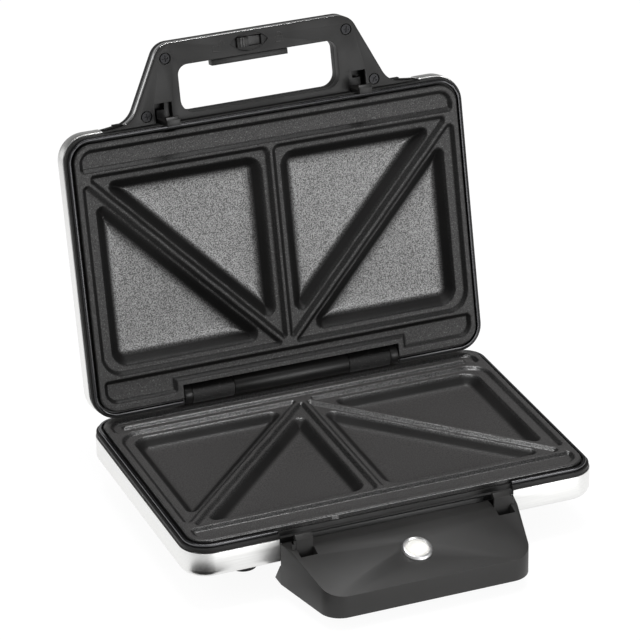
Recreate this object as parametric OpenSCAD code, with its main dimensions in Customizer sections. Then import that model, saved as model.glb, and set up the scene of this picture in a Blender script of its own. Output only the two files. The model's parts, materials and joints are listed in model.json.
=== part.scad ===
// Countertop sandwich toaster with a hinged lid, drawn open.
// +Z is up, the front faces -Y, and the rubber feet stand on Z = 0.
// X = 0 is the middle of the body and Y = 0 the middle of the cooking plates.
// Heights of base parts are measured from the plane where the two plates meet.
// Lid parts are drawn closed over the base and then swung open about the hinge.

/* [Cooking plates] */
// Width of a cooking plate, left to right
plate_w = 240; // [228:1:256]
// Depth of a cooking plate, front to back
plate_d = 160; // [154:1:172]
// Radius of a plate's outer corners
plate_corner = 11; // [8:1:13]
// Thickness of a plate at its rim
plate_t = 3.5; // [3:0.1:4]
// Width of the flat rim round a plate
rim_w = 3.3; // [2.8:0.1:4]
// Depth of the troughs and of the ledges round the pockets
ledge_depth = 2; // [1.6:0.1:2.4]
// Depth of the four pockets below the rim
pocket_depth = 8; // [7:0.5:9]
// Width of the ledge along the front of a pocket
ledge_front = 5.3; // [4:0.1:6]
// Width of the ledge along a pocket's other straight sides
ledge_side = 5; // [4.4:0.1:5.4]
// Length of the pocket wall's slope, seen from above
wall_run = 6.2; // [5:0.1:7]
// Width of a rib's flat top
rib_w = 1.7; // [1.4:0.1:2]
// Metal left under the deepest pocket
pocket_floor = 2.8; // [2.4:0.1:3.2]
// Depth of the front trough, front to back
trough_front = 13.2; // [12:0.1:14]
// Depth of the rear trough, front to back
trough_rear = 14.6; // [14:0.1:15]

/* [Body] */
// Height of the meeting plane above the table
plane_z = 42; // [41:1:48]
// How far the steel shells stand out past a plate, front and sides
shell_margin = 5; // [4.8:0.1:6]
// How far the steel shells stand out past a plate at the hinge side
rear_margin = 4.2; // [4:0.1:4.3]
// Thickness of the steel sheet
sheet_t = 1; // [0.8:0.1:1]
// Depth of a shell's upper edge below the meeting plane
shell_drop = 5.8; // [5.6:0.1:6.2]
// Height of the base shell
shell_h = 16; // [15:0.5:17]
// Radius of the base shell's lower edge
shell_curl = 5; // [4:0.5:6]
// Thickness of the lid, from the meeting plane to its top
lid_t = 22; // [21:0.5:24]
// Radius of the lid's upper edge
lid_round = 8; // [7:0.5:9]
// Wall of the plastic mouldings
wall = 2.2; // [1.8:0.1:2.4]
// Gap between the closed plates
plate_gap = 0.6; // [0.5:0.1:0.9]

/* [Hinge] */
// Height of the hinge axis above the meeting plane
hinge_rise = 7; // [6.9:0.1:7.4]
// Distance of the hinge axis in front of the plates' rear edge
hinge_inset = 1.2; // [1:0.1:1.4]
// Angle that the lid is drawn open
lid_open = 102.4; // [100:0.1:104]
// Diameter of the hinge pin
pin_d = 5; // [4:0.5:6]
// Radius of the hinge barrel and knuckles
barrel_r = 6.2; // [5.6:0.1:6.3]
// Half length of the middle barrel
barrel_half = 36.4; // [30:0.2:40]
// Length of each side knuckle
knuckle_l = 26.2; // [22:0.2:30]
// Thickness of the outer hinge cheeks
cheek_t = 4.6; // [4:0.2:6]
// Side gap between hinge leaves
leaf_gap = 0.4; // [0.3:0.05:0.6]
// Running clearance of the pin in the lid's knuckles
pin_fit = 0.05; // [0.02:0.01:0.1]

/* [Handle] */
// Reach of the handle from the plates' rear edge, top of the grip
handle_reach = 209.5; // [206:0.5:216]
// Half width of the handle across the top of the grip
handle_half = 59.2; // [57:0.2:62]
// Half width of the handle where the legs meet the lid
handle_foot = 80.4; // [78:0.2:84]
// Half width of the hand opening
grip_open_half = 49.6; // [46:0.2:50]
// Depth of the grip bar, front to back
grip_bar = 13.6; // [12.5:0.1:15]
// Height of the handle's lower face above the meeting plane
handle_low = 6.5; // [6:0.1:7]
// Thickness of the handle
handle_t = 11; // [10.5:0.1:12]
// Thickness of the chrome trim between the handle halves
trim_t = 4.6; // [4:0.1:5]

/* [Latch] */
// Travel of the lock knob
knob_travel = 6; // [5:0.5:6.5]
// Travel of the hook frame
hook_travel = 3.2; // [2.8:0.1:3.6]
// Distance of the hooks from the middle
hook_x = 60; // [59:0.2:61]
// Width of a hook
hook_w = 8; // [7:0.2:9]
// How far the hooks reach past the meeting plane
hook_reach = 8; // [7.6:0.1:8.4]

/* [Nose] */
// Reach of the nose from the plates' rear edge
nose_reach = 213.5; // [208:0.5:220]
// Half width of the nose at the body
nose_back_half = 71; // [70.8:0.1:72]
// Half width of the nose at its front
nose_front_half = 60.5; // [57:0.5:64]
// Depth of the nose's flat ridge below the meeting plane
nose_drop = 8.5; // [8.3:0.1:9]
// Depth of the nose's front edge below the meeting plane
nose_fall = 21; // [18:0.5:23]
// Depth of the nose's underside below the meeting plane
nose_bottom = 34.5; // [33:0.5:36]
// Distance of the pilot lamp from the plates' rear edge
lamp_y = 192; // [189:0.5:196]
// Diameter of the lamp's chrome ring
lamp_d = 17.4; // [16:0.2:18]

/* [Feet and inlet] */
// Diameter of a rubber foot
foot_d = 16; // [14:1:18]
// Height of a rubber foot below the pan
foot_h = 5; // [4:0.5:6]
// Half spacing of the feet, left to right
foot_x = 78; // [74:1:80]
// Distance of the front feet in front of the plates' middle
foot_front = 44; // [40:1:44]
// Distance of the rear feet behind the plates' middle
foot_rear = 66; // [60:1:67]
// Bore of the cord gland
gland_bore = 7; // [6:0.5:8]

/* [Heater] */
// Diameter of the heating tube
heater_d = 6.6; // [6:0.1:7]
// Half width of the heating loop
heater_half = 76; // [70:1:84]
// Depth of the heating loop, front to back
heater_span = 84; // [76:1:92]

/* [Hidden] */
$fn = 48;
tiny = 0.01;
plate_half = plate_w / 2;
// Y of the plates' rear edge; v below is measured forwards from it
rear_y = plate_d / 2;
shell_half = plate_half + shell_margin;
shell_corner = plate_corner + shell_margin;
shell_front = plate_d + shell_margin;

hinge_y = rear_y - hinge_inset;
hinge_z = plane_z + hinge_rise;
cell_out = plate_half - rim_w;
rear_rim = rim_w + 1.3;
cell_front = plate_d - rim_w - trough_front - rib_w;
cell_back = rear_rim + trough_rear + rib_w;
hub_v = cell_back - 1;
rib_slope = (cell_front - hub_v) / cell_out;
rib_skew = sqrt(1 + rib_slope * rib_slope);
ledge_run = 2.4;
plate_under = pocket_depth + pocket_floor;
block_v = 15.2;
frame_gap = 0.4;
frame_wall = 3.2;
frame_out = frame_gap + frame_wall;
frame_low = 14;
ring_in = 1.2;
ring_w = 1.8;
ring_top = 1.2;
ring_t = 2;
frame_top = ring_top + ring_t;
lip_out = 4.4;
ledge_in = 3.5;
lug_t = 2.5;
screw_d = 3;
boss_d = 8;
hinge_half = barrel_half + 2 * leaf_gap + knuckle_l + cheek_t;
notch_half = hinge_half + 0.8;
notch_v = hinge_inset + barrel_r + 1.2;
pan_top = shell_drop + shell_h;
pan_bottom = plane_z - foot_h;
pan_slope_in = 25;
pan_half = shell_half - shell_curl - 2;
pan_v0 = -rear_margin + shell_curl + 2;
pan_v1 = shell_front - shell_curl - 2;
pan_corner = 12;
floor_half = pan_half - pan_slope_in;
lug_x = plate_half - 16;
lug_v = [10, plate_d - 10];
post_x = plate_half - 31;
post_v = [32, plate_d - 32];
post_d = 9.5;
front_v = plate_d - 6;
nose_lug_x = [-38, 38];
handle_lug_x = [-84, -38, 38, 84];
arm_x = [-57, -43, 43, 57];
arm_v = cell_back + 0.6;
arm_t = 3.2;
shim_t = 0.6;
sink_w = 1.1;
tray_v0 = 25.5;
lead_d = 2;
heater_w = plate_under + heater_d / 2;
tray_v1 = plate_d - 22;
heater_v0 = (tray_v0 + tray_v1 - heater_span) / 2 + 0.15;
heater_v1 = heater_v0 + heater_span;
heater_r = 16;
terminal_x = 14;
terminal_v = 24;
terminal_h = 12;
lead_x = 10.4;
lead_w = 17;
reflector_w = heater_w + heater_d / 2 + 2.2;
open_top = handle_reach - grip_bar;
open_low = plate_d + 7.5;
handle_v0 = plate_d + frame_out + 0.3;
handle_high = handle_low + handle_t;
inner_t = 2.4;
outer_t = handle_t - inner_t - trim_t - 0.4;
screw_up = [handle_half - 2.7, handle_reach - 8.5];
screw_low = [handle_foot - 9.1, plate_d + 9];
nose_screw_x = 40;
nose_screw_v = nose_reach - 15.5;
nose_screw_l = 8;
lug_screw_l = 5;
bracket_screw_l = 8;
hook_v = plate_d + frame_out + 0.4;
hook_t = 2.2;
hook_tip = hook_v + 5.2;
foot_gap = 0.4;
tab_v = hook_v + hook_t + hook_travel + 0.6;
tab_t = 4.4;
tab_top = 0.8;
tab_low = 4;
tab_post = hook_tip + hook_travel + 0.4;
slot_x = -4.2;
slot_v = handle_reach - 6.2;
slot_w = 15.7;
slot_h = 6;
knob_w = 7;
slide_w = 9;
slide_t = 0.9;
frame_w = 10.1;
frame_t = 2.2;
bar_mid = -3.8;
bar_half = 23.7;
bar_drop = 4;
nose_v0 = shell_front + 0.3;
ridge_v = plate_d + 16;
nose_slope = atan((nose_fall - nose_drop) / (nose_reach - ridge_v));
lamp_w = nose_drop + (lamp_y - ridge_v) * tan(nose_slope);
gland_x = 64;
gland_w = 28.2;
gland_d = 11;
foot_v = [rear_y - foot_rear, rear_y + foot_front];
pan_seat = 24;
bracket_low = 19;
bracket_v = 11.5;
bracket_x = [-50, -20, 20, 50];
cam_d = 2;
cam_gap = 0.2;
cam_v = open_top + 4.7;

// ---- Helpers -------------------------------------------------------------

function unit(p) = p / norm(p);
function flat(p) = [p[0], p[1]];
// Moves each side of a closed outline outwards by d; a point is [x, y, radius]
function grown(P, d) = let (n = len(P)) [
    for (i = [0 : n - 1])
        let (
            a = flat(P[(i + n - 1) % n]),
            b = flat(P[i]),
            c = flat(P[(i + 1) % n]),
            e = unit(b - a),
            f = unit(c - b),
            m = [e[1] + f[1], -e[0] - f[0]],
            k = d / (1 + e * f),
            s = cross(e, f) > 0 ? 1 : -1
        )
        [b[0] + k * m[0], b[1] + k * m[1], P[i][2] > 0 ? max(P[i][2] + s * d, 0.6) : 0]
];
// Points of one rounded corner
function corner(a, b, c, r, n) = let (
        e = unit(b - a),
        f = unit(c - b),
        s = cross(e, f) > 0 ? 1 : -1,
        t = acos(min(1, max(-1, e * f))),
        p = b - e * r * tan(t / 2),
        o = p + s * r * [-e[1], e[0]]
    )
    [for (k = [0 : n]) let (q = s * t * k / n, w = p - o)
        o + [w[0] * cos(q) - w[1] * sin(q), w[0] * sin(q) + w[1] * cos(q)]];
function rounded(P, n = 6) = let (m = len(P)) [
    for (i = [0 : m - 1])
        for (q = P[i][2] > 0
            ? corner(flat(P[(i + m - 1) % m]), flat(P[i]), flat(P[(i + 1) % m]), P[i][2], n)
            : [flat(P[i])])
            q
];
// The same outline on both sides of X = 0, from its right half
function both(P) = concat(P, [for (i = [len(P) - 1 : -1 : 0]) [-P[i][0], P[i][1], P[i][2]]]);

// Local frame of a base part: x right, y forwards from the plates' rear edge, z up
module in_base() {
    translate([0, rear_y, plane_z]) mirror([0, 1, 0]) children();
}
// Local frame of a lid part: the same, with z pointing from the lid to the base
module in_lid() {
    translate([0, hinge_y, hinge_z]) rotate([-lid_open, 0, 0]) translate([0, -hinge_y, -hinge_z])
        translate([0, rear_y, plane_z + plate_gap]) rotate([180, 0, 0]) children();
}
module mirrored() {
    children();
    mirror([1, 0, 0]) children();
}
// A slab between two depths below the meeting plane
module slab(top, bottom) {
    translate([0, 0, -bottom]) linear_extrude(bottom - top) children();
}
module outline(half, v0, v1, r) {
    translate([-half + r, v0]) square([2 * (half - r), v1 - v0]);
    translate([-half, v0 + r]) square([2 * half, v1 - v0 - 2 * r]);
    for (x = [-half + r, half - r]) for (y = [v0 + r, v1 - r]) translate([x, y]) circle(r);
}
// Sweeps a profile round a rounded rectangle; profile x points outwards
module band(half, v0, v1, r) {
    mid = (v1 - v0) / 2;
    translate([0, (v0 + v1) / 2, 0]) for (k = [0 : 3]) rotate([0, 0, 90 * k]) {
        side = k % 2 == 0 ? half : mid;
        run = (k % 2 == 0 ? mid : half) - r;
        translate([side - r, run, 0]) rotate([90, 0, 0]) linear_extrude(2 * run)
            translate([r, 0]) children();
        translate([side - r, run, 0]) rotate_extrude(angle = 90) translate([r, 0]) children();
    }
}
// A block given by its lowest and highest corners
module block(a, b) {
    translate(a) cube(b - a);
}
module rod(p, d, l) {
    translate(p) cylinder(d = d, h = l);
}
// A sunk shape with sloping walls, from an outline
module sink(P, run, top, bottom) {
    over = 0.2;
    a = rounded(grown(P, over * run / (bottom - top)));
    b = rounded(grown(P, -run));
    n = len(a);
    polyhedron(
        points = concat([for (q = b) [q[0], q[1], -bottom]], [for (q = a) [q[0], q[1], over - top]]),
        faces = concat(
            [[for (i = [0 : n - 1]) i]],
            [[for (i = [2 * n - 1 : -1 : n]) i]],
            [for (i = [0 : n - 1]) [i, n + i, n + (i + 1) % n, (i + 1) % n]]
        )
    );
}
// A pan-head screw standing on its head's lower face, pointing up
module screw(d, l, head_d, head_h) {
    difference() {
        union() {
            translate([0, 0, -tiny]) cylinder(d = d, h = l + tiny);
            translate([0, 0, -head_h]) cylinder(d = head_d, h = head_h);
        }
        for (a = [0, 90]) rotate([0, 0, a])
            translate([-head_d * 0.3, -0.4, -head_h - tiny]) cube([head_d * 0.6, 0.8, head_h * 0.6]);
    }
}

// ---- Cooking plates ------------------------------------------------------

function front_cell(side, front, skew) = let (off = skew * rib_skew) [
    [side, hub_v + rib_slope * side + off, side < 2 ? 2 : 5],
    [(front - hub_v - off) / rib_slope, front, side < 2 ? 3.2 : 4],
    [side, front, side < 2 ? 5 : 9],
];
function rear_cell(back, out, skew) = let (off = skew * rib_skew) [
    [(back - hub_v + off) / rib_slope, back, skew < 2 ? 2 : 4.6],
    [out, back, skew < 2 ? 13 : 10],
    [out, hub_v + rib_slope * out - off, skew < 2 ? 3.2 : 4],
];
module plate_body() {
    slab(0, plate_t) outline(plate_half, 0, plate_d, plate_corner);
    slab(plate_t - 0.5, plate_under) outline(plate_half - 7, block_v, plate_d - block_v, 6);
    for (x = [-lug_x, lug_x]) for (v = lug_v) rod([x, v, -9], boss_d, 7);
}
module plate_sinks(notched) {
    ledge = ledge_depth;
    mirrored() {
        sink(front_cell(rib_w / 2, cell_front, rib_w / 2), ledge_run, 0, ledge);
        sink(rear_cell(cell_back, cell_out, rib_w / 2), ledge_run, 0, ledge);
        sink(front_cell(rib_w / 2 + ledge_side, cell_front - ledge_front, rib_w / 2 + 3.4),
            wall_run, ledge, pocket_depth);
        sink(rear_cell(cell_back + ledge_side, cell_out - ledge_side - 2, rib_w / 2 + 3.4),
            wall_run, ledge, pocket_depth);
    }
    front = plate_d - rim_w;
    sink(both([[cell_out, front - trough_front, 2.6], [cell_out, front, 8]]), 2.2, 0, ledge);
    back = rear_rim + trough_rear;
    step_v = notch_v + 2.6;
    step_x = notch_half + 3;
    sink(notched
        ? both([[step_x, step_v, 2.6], [step_x, rear_rim, 2.6], [cell_out, rear_rim, 8], [cell_out, back, 2.6]])
        : both([[cell_out, rear_rim, 8], [cell_out, back, 2.6]]), 2.2, 0, ledge);
}
module plate_holes() {
    for (x = [-lug_x, lug_x]) for (v = lug_v) rod([x, v, -9 - tiny], screw_d, 6);
}
module base_plate() {
    color("dimgray") in_base() difference() {
        plate_body();
        plate_sinks(false);
        plate_holes();
    }
}
module lid_plate() {
    color("dimgray") in_lid() difference() {
        plate_body();
        plate_sinks(true);
        plate_holes();
        block([-notch_half, -1, -plate_t - 1], [notch_half, notch_v, 1]);
        for (x = arm_x) rod([x, arm_v, -plate_under - tiny], screw_d, 6);
    }
}

// ---- Frames, trim rings and shells ---------------------------------------

module frame_profile() {
    translate([frame_gap, -frame_low]) square([frame_wall, frame_low - frame_top]);
    translate([-ledge_in, -plate_t - 2.5]) square([ledge_in + frame_gap + tiny, 2.5]);
    translate([frame_gap, -shell_drop + 0.2]) square([lip_out - frame_gap, shell_drop - 0.2 - frame_top]);
}
module frame_lug(x, v, low, reach) {
    s = x > 0 ? 1 : -1;
    difference() {
        union() {
            rod([x, v, -low], boss_d + 1, lug_t);
            block([min(x, s * (plate_half + 1)), v - 4, -low], [max(x, s * (plate_half + 1)), v + 4, lug_t - low]);
        }
        rod([x, v, -low - 1], screw_d + 0.4, lug_t + 2);
    }
}
module frame_body() {
    side = sheet_t + 0.15;
    difference() {
        band(plate_half, 0, plate_d, plate_corner) frame_profile();
        slab(shell_drop - 0.1, frame_low + 1) difference() {
            outline(shell_half + 5, -10, plate_d + 20, 9);
            outline(shell_half - side, side - rear_margin, shell_front - side, shell_corner - side);
        }
    }
    for (x = [-lug_x, lug_x]) for (v = lug_v) frame_lug(x, v, 9 + lug_t);
    for (x = [-post_x, post_x]) for (v = post_v) frame_lug(x, v, frame_low);
}
module front_lugs(places) {
    for (x = places) difference() {
        block([x - 6, front_v - 5, -frame_low], [x + 6, plate_d + 1, lug_t - frame_low]);
        rod([x, front_v, -frame_low - 1], screw_d + 0.4, lug_t + 2);
    }
}
module ring_body(front_half) {
    difference() {
        band(plate_half, 0, plate_d, plate_corner)
            translate([ring_in, -frame_top]) square([ring_w, ring_t]);
        block([-notch_half, -10, -9], [notch_half, 12, 1]);
        if (front_half > 0) block([-front_half, plate_d - 6, -9], [front_half, plate_d + 9, 1]);
    }
}
module base_frame() {
    color("#161617") in_base() difference() {
        union() {
            frame_body();
            front_lugs(nose_lug_x);
        }
        block([-notch_half, -9, -frame_low - 1], [notch_half, -frame_gap + 0.1, 1]);
        block([-nose_back_half, plate_d + ring_in, -shell_drop], [nose_back_half, plate_d + 9, 1]);
    }
}
module base_trim_ring() {
    color("gainsboro") in_base() ring_body(nose_back_half);
}
// Wall of a shell: a thin strip whose far edge curls inwards
module shell_profile(depth, curl) {
    translate([-sheet_t, -depth + curl]) square([sheet_t, depth - curl - shell_drop]);
    translate([-curl, -depth + curl]) intersection() {
        difference() {
            circle(curl);
            circle(curl - sheet_t);
        }
        translate([0, -curl - 1]) square([curl + 1, curl + 1]);
    }
}
module base_shell() {
    depth = shell_drop + shell_h;
    color("silver") in_base() difference() {
        union() {
            band(shell_half, -rear_margin, shell_front, shell_corner) shell_profile(depth, shell_curl);
            slab(depth - sheet_t, depth) difference() {
                outline(shell_half - shell_curl, shell_curl - rear_margin, shell_front - shell_curl, 11);
                outline(pan_half - 4, pan_v0 + 4, pan_v1 - 4, 8);
            }
        }
        block([-notch_half - 0.4, -9, -19.4], [notch_half + 0.4, 0, 1]);
        block([-nose_back_half + 1.5, plate_d - 10, -depth - 1],
            [nose_back_half - 1.5, plate_d + 10, -nose_drop - 2.1]);
        mirrored() block([hook_x - 7.5, plate_d - 2, -nose_drop - 0.1], [nose_back_half + 0.3, plate_d + 10, 1]);
    }
}
module lid_frame() {
    color("#161617") in_lid() difference() {
        union() {
            frame_body();
            front_lugs(handle_lug_x);
        }
        block([-notch_half, -9, -frame_low - 1], [notch_half, notch_v + 1, 1]);
        block([-handle_foot - 18.4, plate_d + frame_out, -9], [handle_foot + 18.4, plate_d + 10, 1]);
        for (x = [-post_x, post_x]) for (v = post_v) rod([x, v, sink_w - frame_low], 6.2, 9);
    }
}
module lid_trim_ring() {
    color("gainsboro") in_lid() ring_body(0);
}
module lid_shell() {
    color("silver") in_lid() {
        difference() {
            union() {
                band(shell_half, -rear_margin, shell_front, shell_corner) shell_profile(lid_t, lid_round);
                slab(lid_t - sheet_t, lid_t) outline(shell_half - lid_round, lid_round - rear_margin,
                    shell_front - lid_round, shell_corner - lid_round);
            }
            block([-notch_half - 0.6, -9, -lid_t + 4], [notch_half + 0.6, 3, 1]);
            block([-handle_foot - 18.6, plate_d - 2, -handle_high - 0.4], [handle_foot + 18.6, plate_d + 10, 1]);
        }
        for (x = [-post_x, post_x]) for (v = post_v) difference() {
            rod([x, v, sheet_t / 2 - lid_t], boss_d, lid_t - frame_low - shim_t - sheet_t / 2);
            rod([x, v, 2 - lid_t], screw_d, 12);
        }
    }
}

// ---- Base pan, feet and inlet --------------------------------------------

// Tapered solid between two outlines with the same number of points
module frustum(top, z_top, bottom, z_bottom) {
    n = len(top);
    polyhedron(
        points = concat([for (q = bottom) [q[0], q[1], z_bottom]], [for (q = top) [q[0], q[1], z_top]]),
        faces = concat(
            [[for (i = [0 : n - 1]) i]],
            [[for (i = [2 * n - 1 : -1 : n]) i]],
            [for (i = [0 : n - 1]) [i, n + i, n + (i + 1) % n, (i + 1) % n]]
        )
    );
}
// A shape extruded along X; its own x runs forwards and its y upwards
module along_x(a, b) {
    translate([a, 0, 0]) rotate([90, 0, 90]) linear_extrude(b - a) children();
}
// A round bar from one point to another
module stick(a, b, d) {
    run = b - a;
    translate(a) rotate([0, acos(run[2] / norm(run)), atan2(run[1], run[0])]) cylinder(d = d, h = norm(run));
}
module wire(P, d) {
    for (i = [1 : len(P) - 1]) stick(P[i - 1], P[i], d);
    for (i = [1 : len(P) - 2]) translate(P[i]) cube(d + 0.3, center = true);
}
module pan_form(inset, top, bottom) {
    wide = both([[pan_half - inset, pan_v0 + inset, pan_corner], [pan_half - inset, pan_v1 - inset, pan_corner]]);
    low = both([
        [floor_half - inset, pan_v0 + inset, pan_corner],
        [floor_half - inset, pan_v1 - pan_slope_in - inset, pan_corner],
    ]);
    frustum(rounded(wide), -top, rounded(low), -bottom);
}
module base_pan() {
    step = 13;
    color("#1c1c1e") in_base() difference() {
        union() {
            difference() {
                pan_form(0, pan_top, pan_bottom);
                pan_form(wall, pan_top - tiny, pan_bottom - wall);
            }
            for (x = [-post_x, post_x]) for (v = post_v)
                rod([x, v, -pan_bottom + wall / 2], post_d, pan_bottom - wall / 2 - frame_low - shim_t);
            for (x = bracket_x)
                rod([x, bracket_v, -pan_bottom + wall / 2], boss_d, pan_bottom - wall / 2 - bracket_low);
        }
        for (x = [-post_x, post_x]) for (v = post_v) {
            rod([x, v, -pan_bottom - 1], screw_d + 0.4, pan_bottom);
            rod([x, v, -pan_bottom - 1], 6.6, pan_bottom + 1 - pan_seat);
        }
        for (x = bracket_x) rod([x, bracket_v, -bracket_low - 10], screw_d, 11);
        for (x = [-foot_x, foot_x]) for (v = foot_v) rod([x, v, -pan_bottom - 1], 6, wall + 2);
        for (k = [-2 : 2]) for (s = [-1, 1]) translate([s * 34, plate_d / 2 + k * step, -pan_bottom - 1])
            linear_extrude(wall + 2) {
                square([36, 4], center = true);
                for (e = [-18, 18]) translate([e, 0]) circle(2);
            }
        translate([gland_x, pan_v0 - 1, -gland_w]) rotate([-90, 0, 0]) cylinder(d = gland_d, h = wall + 2);
    }
}
module rubber_feet() {
    color("#101010") in_base() for (x = [-foot_x, foot_x]) for (v = foot_v) {
        rod([x, v, -plane_z], foot_d, foot_h);
        rod([x, v, -plane_z + foot_h - tiny], 6, wall + 1.4);
    }
}
module cord_gland() {
    color("#18181a") in_base() translate([gland_x, pan_v0, -gland_w]) rotate([-90, 0, 0]) difference() {
        union() {
            translate([0, 0, -2.4]) cylinder(d = gland_d + 1.6, h = 2.4);
            translate([0, 0, -tiny]) cylinder(d = gland_d, h = wall + 2 * tiny);
            translate([0, 0, wall]) cylinder(d = gland_d + 1.6, h = 3);
        }
        translate([0, 0, -3.4]) cylinder(d = gland_bore, h = wall + 8);
    }
}
module terminal_block() {
    color("ivory") in_base() difference() {
        translate([0, 0, -pan_bottom + wall])
            block([terminal_x, terminal_v, 0], [terminal_x + 30, terminal_v + 14, terminal_h]);
        for (k = [0 : 2]) for (v = [4, 10])
            rod([terminal_x + 5 + 10 * k, terminal_v + v, -pan_bottom + wall + 4], 3.6, terminal_h);
    }
}

// ---- Nose and lamp -------------------------------------------------------

module nose_plan(d) {
    polygon(rounded(grown(both([
        [nose_back_half, plate_d - 5, 0],
        [nose_back_half, nose_v0, 0],
        [nose_front_half, nose_reach, 13],
    ]), -d), 10));
}
module nose_form() {
    intersection() {
        slab(0, plane_z) nose_plan(0);
        along_x(-plate_half, plate_half) polygon([
            [nose_v0, -nose_drop], [ridge_v, -nose_drop], [nose_reach, -nose_fall],
            [nose_reach, -nose_bottom], [plate_d - 4, -nose_bottom],
            [nose_v0 - 1.3, -pan_top - 1.2], [nose_v0, -pan_top - 0.7],
        ]);
    }
}
module nose_void() {
    intersection() {
        slab(0, plane_z + 1) nose_plan(wall);
        along_x(-plate_half, plate_half) polygon([
            [plate_d - 10, -nose_drop - wall], [ridge_v - 0.4, -nose_drop - wall], [nose_reach - wall, -nose_fall - wall + 0.4],
            [nose_reach - wall, -nose_bottom - 1], [plate_d - 10, -nose_bottom - 1],
        ]);
    }
}
module on_slope() {
    translate([0, lamp_y, -lamp_w]) rotate([-nose_slope, 0, 0]) children();
}
module nose_housing() {
    lug_w = frame_low + 2.5;
    mid = hook_x;
    color("#1f1f21") in_base() {
        difference() {
            nose_form();
            difference() {
                nose_void();
                mirrored() block([mid - 6.6, tab_post, -17.6], [mid + 6.6, tab_v + tab_t + 8.2, 0]);
                for (x = nose_lug_x) block([x - 6, plate_d, -lug_w], [x + 6, nose_v0 + 2.7, 0]);
                for (x = [-1, 1]) rod([x * nose_screw_x, nose_screw_v, -nose_bottom + wall], 7, 30);
            }
            mirrored() {
                block([mid - 4.7, plate_d, -nose_drop - 9], [mid + 4.7, tab_post, 1]);
                block([mid - 5, tab_v + tab_t, -16], [mid + 5, tab_v + tab_t + 6.6, 1]);
            }
            for (x = [-1, 1]) rod([x * nose_screw_x, nose_screw_v, -nose_bottom - 1], screw_d, 12);
            on_slope() translate([0, 0, -9]) cylinder(d = lamp_d - 4, h = 12);
        }
        for (x = nose_lug_x) difference() {
            block([x - 6, front_v - 5, -lug_w], [x + 6, nose_v0 + 0.3, -frame_low]);
            rod([x, front_v, -lug_w - 1], screw_d + 0.4, 6);
        }
        mirrored() {
            along_x(mid - 5, mid + 5) polygon([
                [tab_v, -tab_low], [tab_v, -tab_top], [tab_v + 2, -tab_top], [tab_v + tab_t, -tab_top - 1.9],
                [tab_v + tab_t, -16.4], [tab_post, -16.4], [tab_post, -tab_low],
            ]);
            block([mid + 5 - tiny, tab_post, -nose_drop - 1], [mid + 6.2, tab_v + tab_t - 0.4, -3.6]);
            block([mid + 6.2 - tiny, tab_post, -nose_drop - 1], [mid + 7.4, tab_v + tab_t - 0.4, -5.8]);
        }
    }
}
module nose_underside() {
    color("#1c1c1e") in_base() difference() {
        intersection() {
            slab(0, plane_z) nose_plan(wall + 0.2);
            along_x(-plate_half, plate_half) polygon([
                [plate_d - 4, -nose_bottom], [nose_reach, -nose_bottom], [nose_reach, -nose_bottom + wall],
                [plate_d - 1.4, -nose_bottom + wall], [nose_v0 + 0.6, -pan_top - 1.6], [nose_v0 - 1.3, -pan_top - 1.2],
            ]);
        }
        for (x = [-1, 1]) rod([x * nose_screw_x, nose_screw_v, -nose_bottom - 1], screw_d + 0.4, 5);
    }
}
module lamp_bezel() {
    color("gainsboro") in_base() on_slope() rotate_extrude() polygon([
        [lamp_d / 2 - 2.1, -3], [lamp_d / 2 - 2.1, 1.4], [lamp_d / 2 - 1.5, 2], [lamp_d / 2 - 0.7, 1.7],
        [lamp_d / 2, 0.6], [lamp_d / 2, 0], [lamp_d / 2 - 2, 0], [lamp_d / 2 - 2, -3],
    ]);
}
module lamp_lens() {
    r = lamp_d / 2 - 2.1;
    color("white") in_base() on_slope() {
        translate([0, 0, -4]) cylinder(r = r, h = 4.6);
        intersection() {
            translate([0, 0, 0.5]) cylinder(r = r, h = 9);
            translate([0, 0, -6.6]) sphere(9.6);
        }
    }
}
module lamp_holder() {
    color("ivory") in_base() on_slope() {
        translate([0, 0, -10.5]) cylinder(r = lamp_d / 2 - 2.4, h = 6.5);
        translate([-1.6, -1, -13]) cube([1, 2, 3]);
        translate([0.6, -1, -13]) cube([1, 2, 3]);
    }
}

// ---- Hinge ---------------------------------------------------------------

module at_axis() {
    translate([0, hinge_y, hinge_z]) children();
}
module hinge_bore(d) {
    at_axis() rotate([0, 90, 0]) cylinder(d = d, h = 2 * plate_half, center = true);
}
module hinge_bracket() {
    shelf = hinge_rise - 0.3;
    low = hinge_rise + bracket_low;
    back = hinge_inset + 0.6;
    color("#1f1f21") difference() {
        union() {
            at_axis() {
                along_x(-hinge_half, hinge_half) {
                    translate([back, -low]) square([6.4, low - shelf]);
                    translate([-bracket_v - 5 + hinge_inset, -low]) square([bracket_v + 7 + back - hinge_inset, 2.5]);
                }
                for (x = [[-hinge_half, -hinge_half + cheek_t], [-barrel_half, barrel_half],
                    [hinge_half - cheek_t, hinge_half]]) along_x(x[0], x[1]) {
                    circle(barrel_r);
                    polygon([[2.6, -shelf - 1], [back + 6.4, -shelf - 1], [barrel_r, 0], [0, 0], [2.6, -5.7]]);
                }
            }
        }
        hinge_bore(pin_d);
        in_base() for (x = bracket_x) rod([x, bracket_v, -bracket_low - 1], screw_d + 0.4, 5);
    }
}
module hinge_pin() {
    l = 2 * hinge_half - 1;
    color("silver") at_axis() rotate([0, 90, 0]) cylinder(d = pin_d, h = l, center = true);
}
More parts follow.
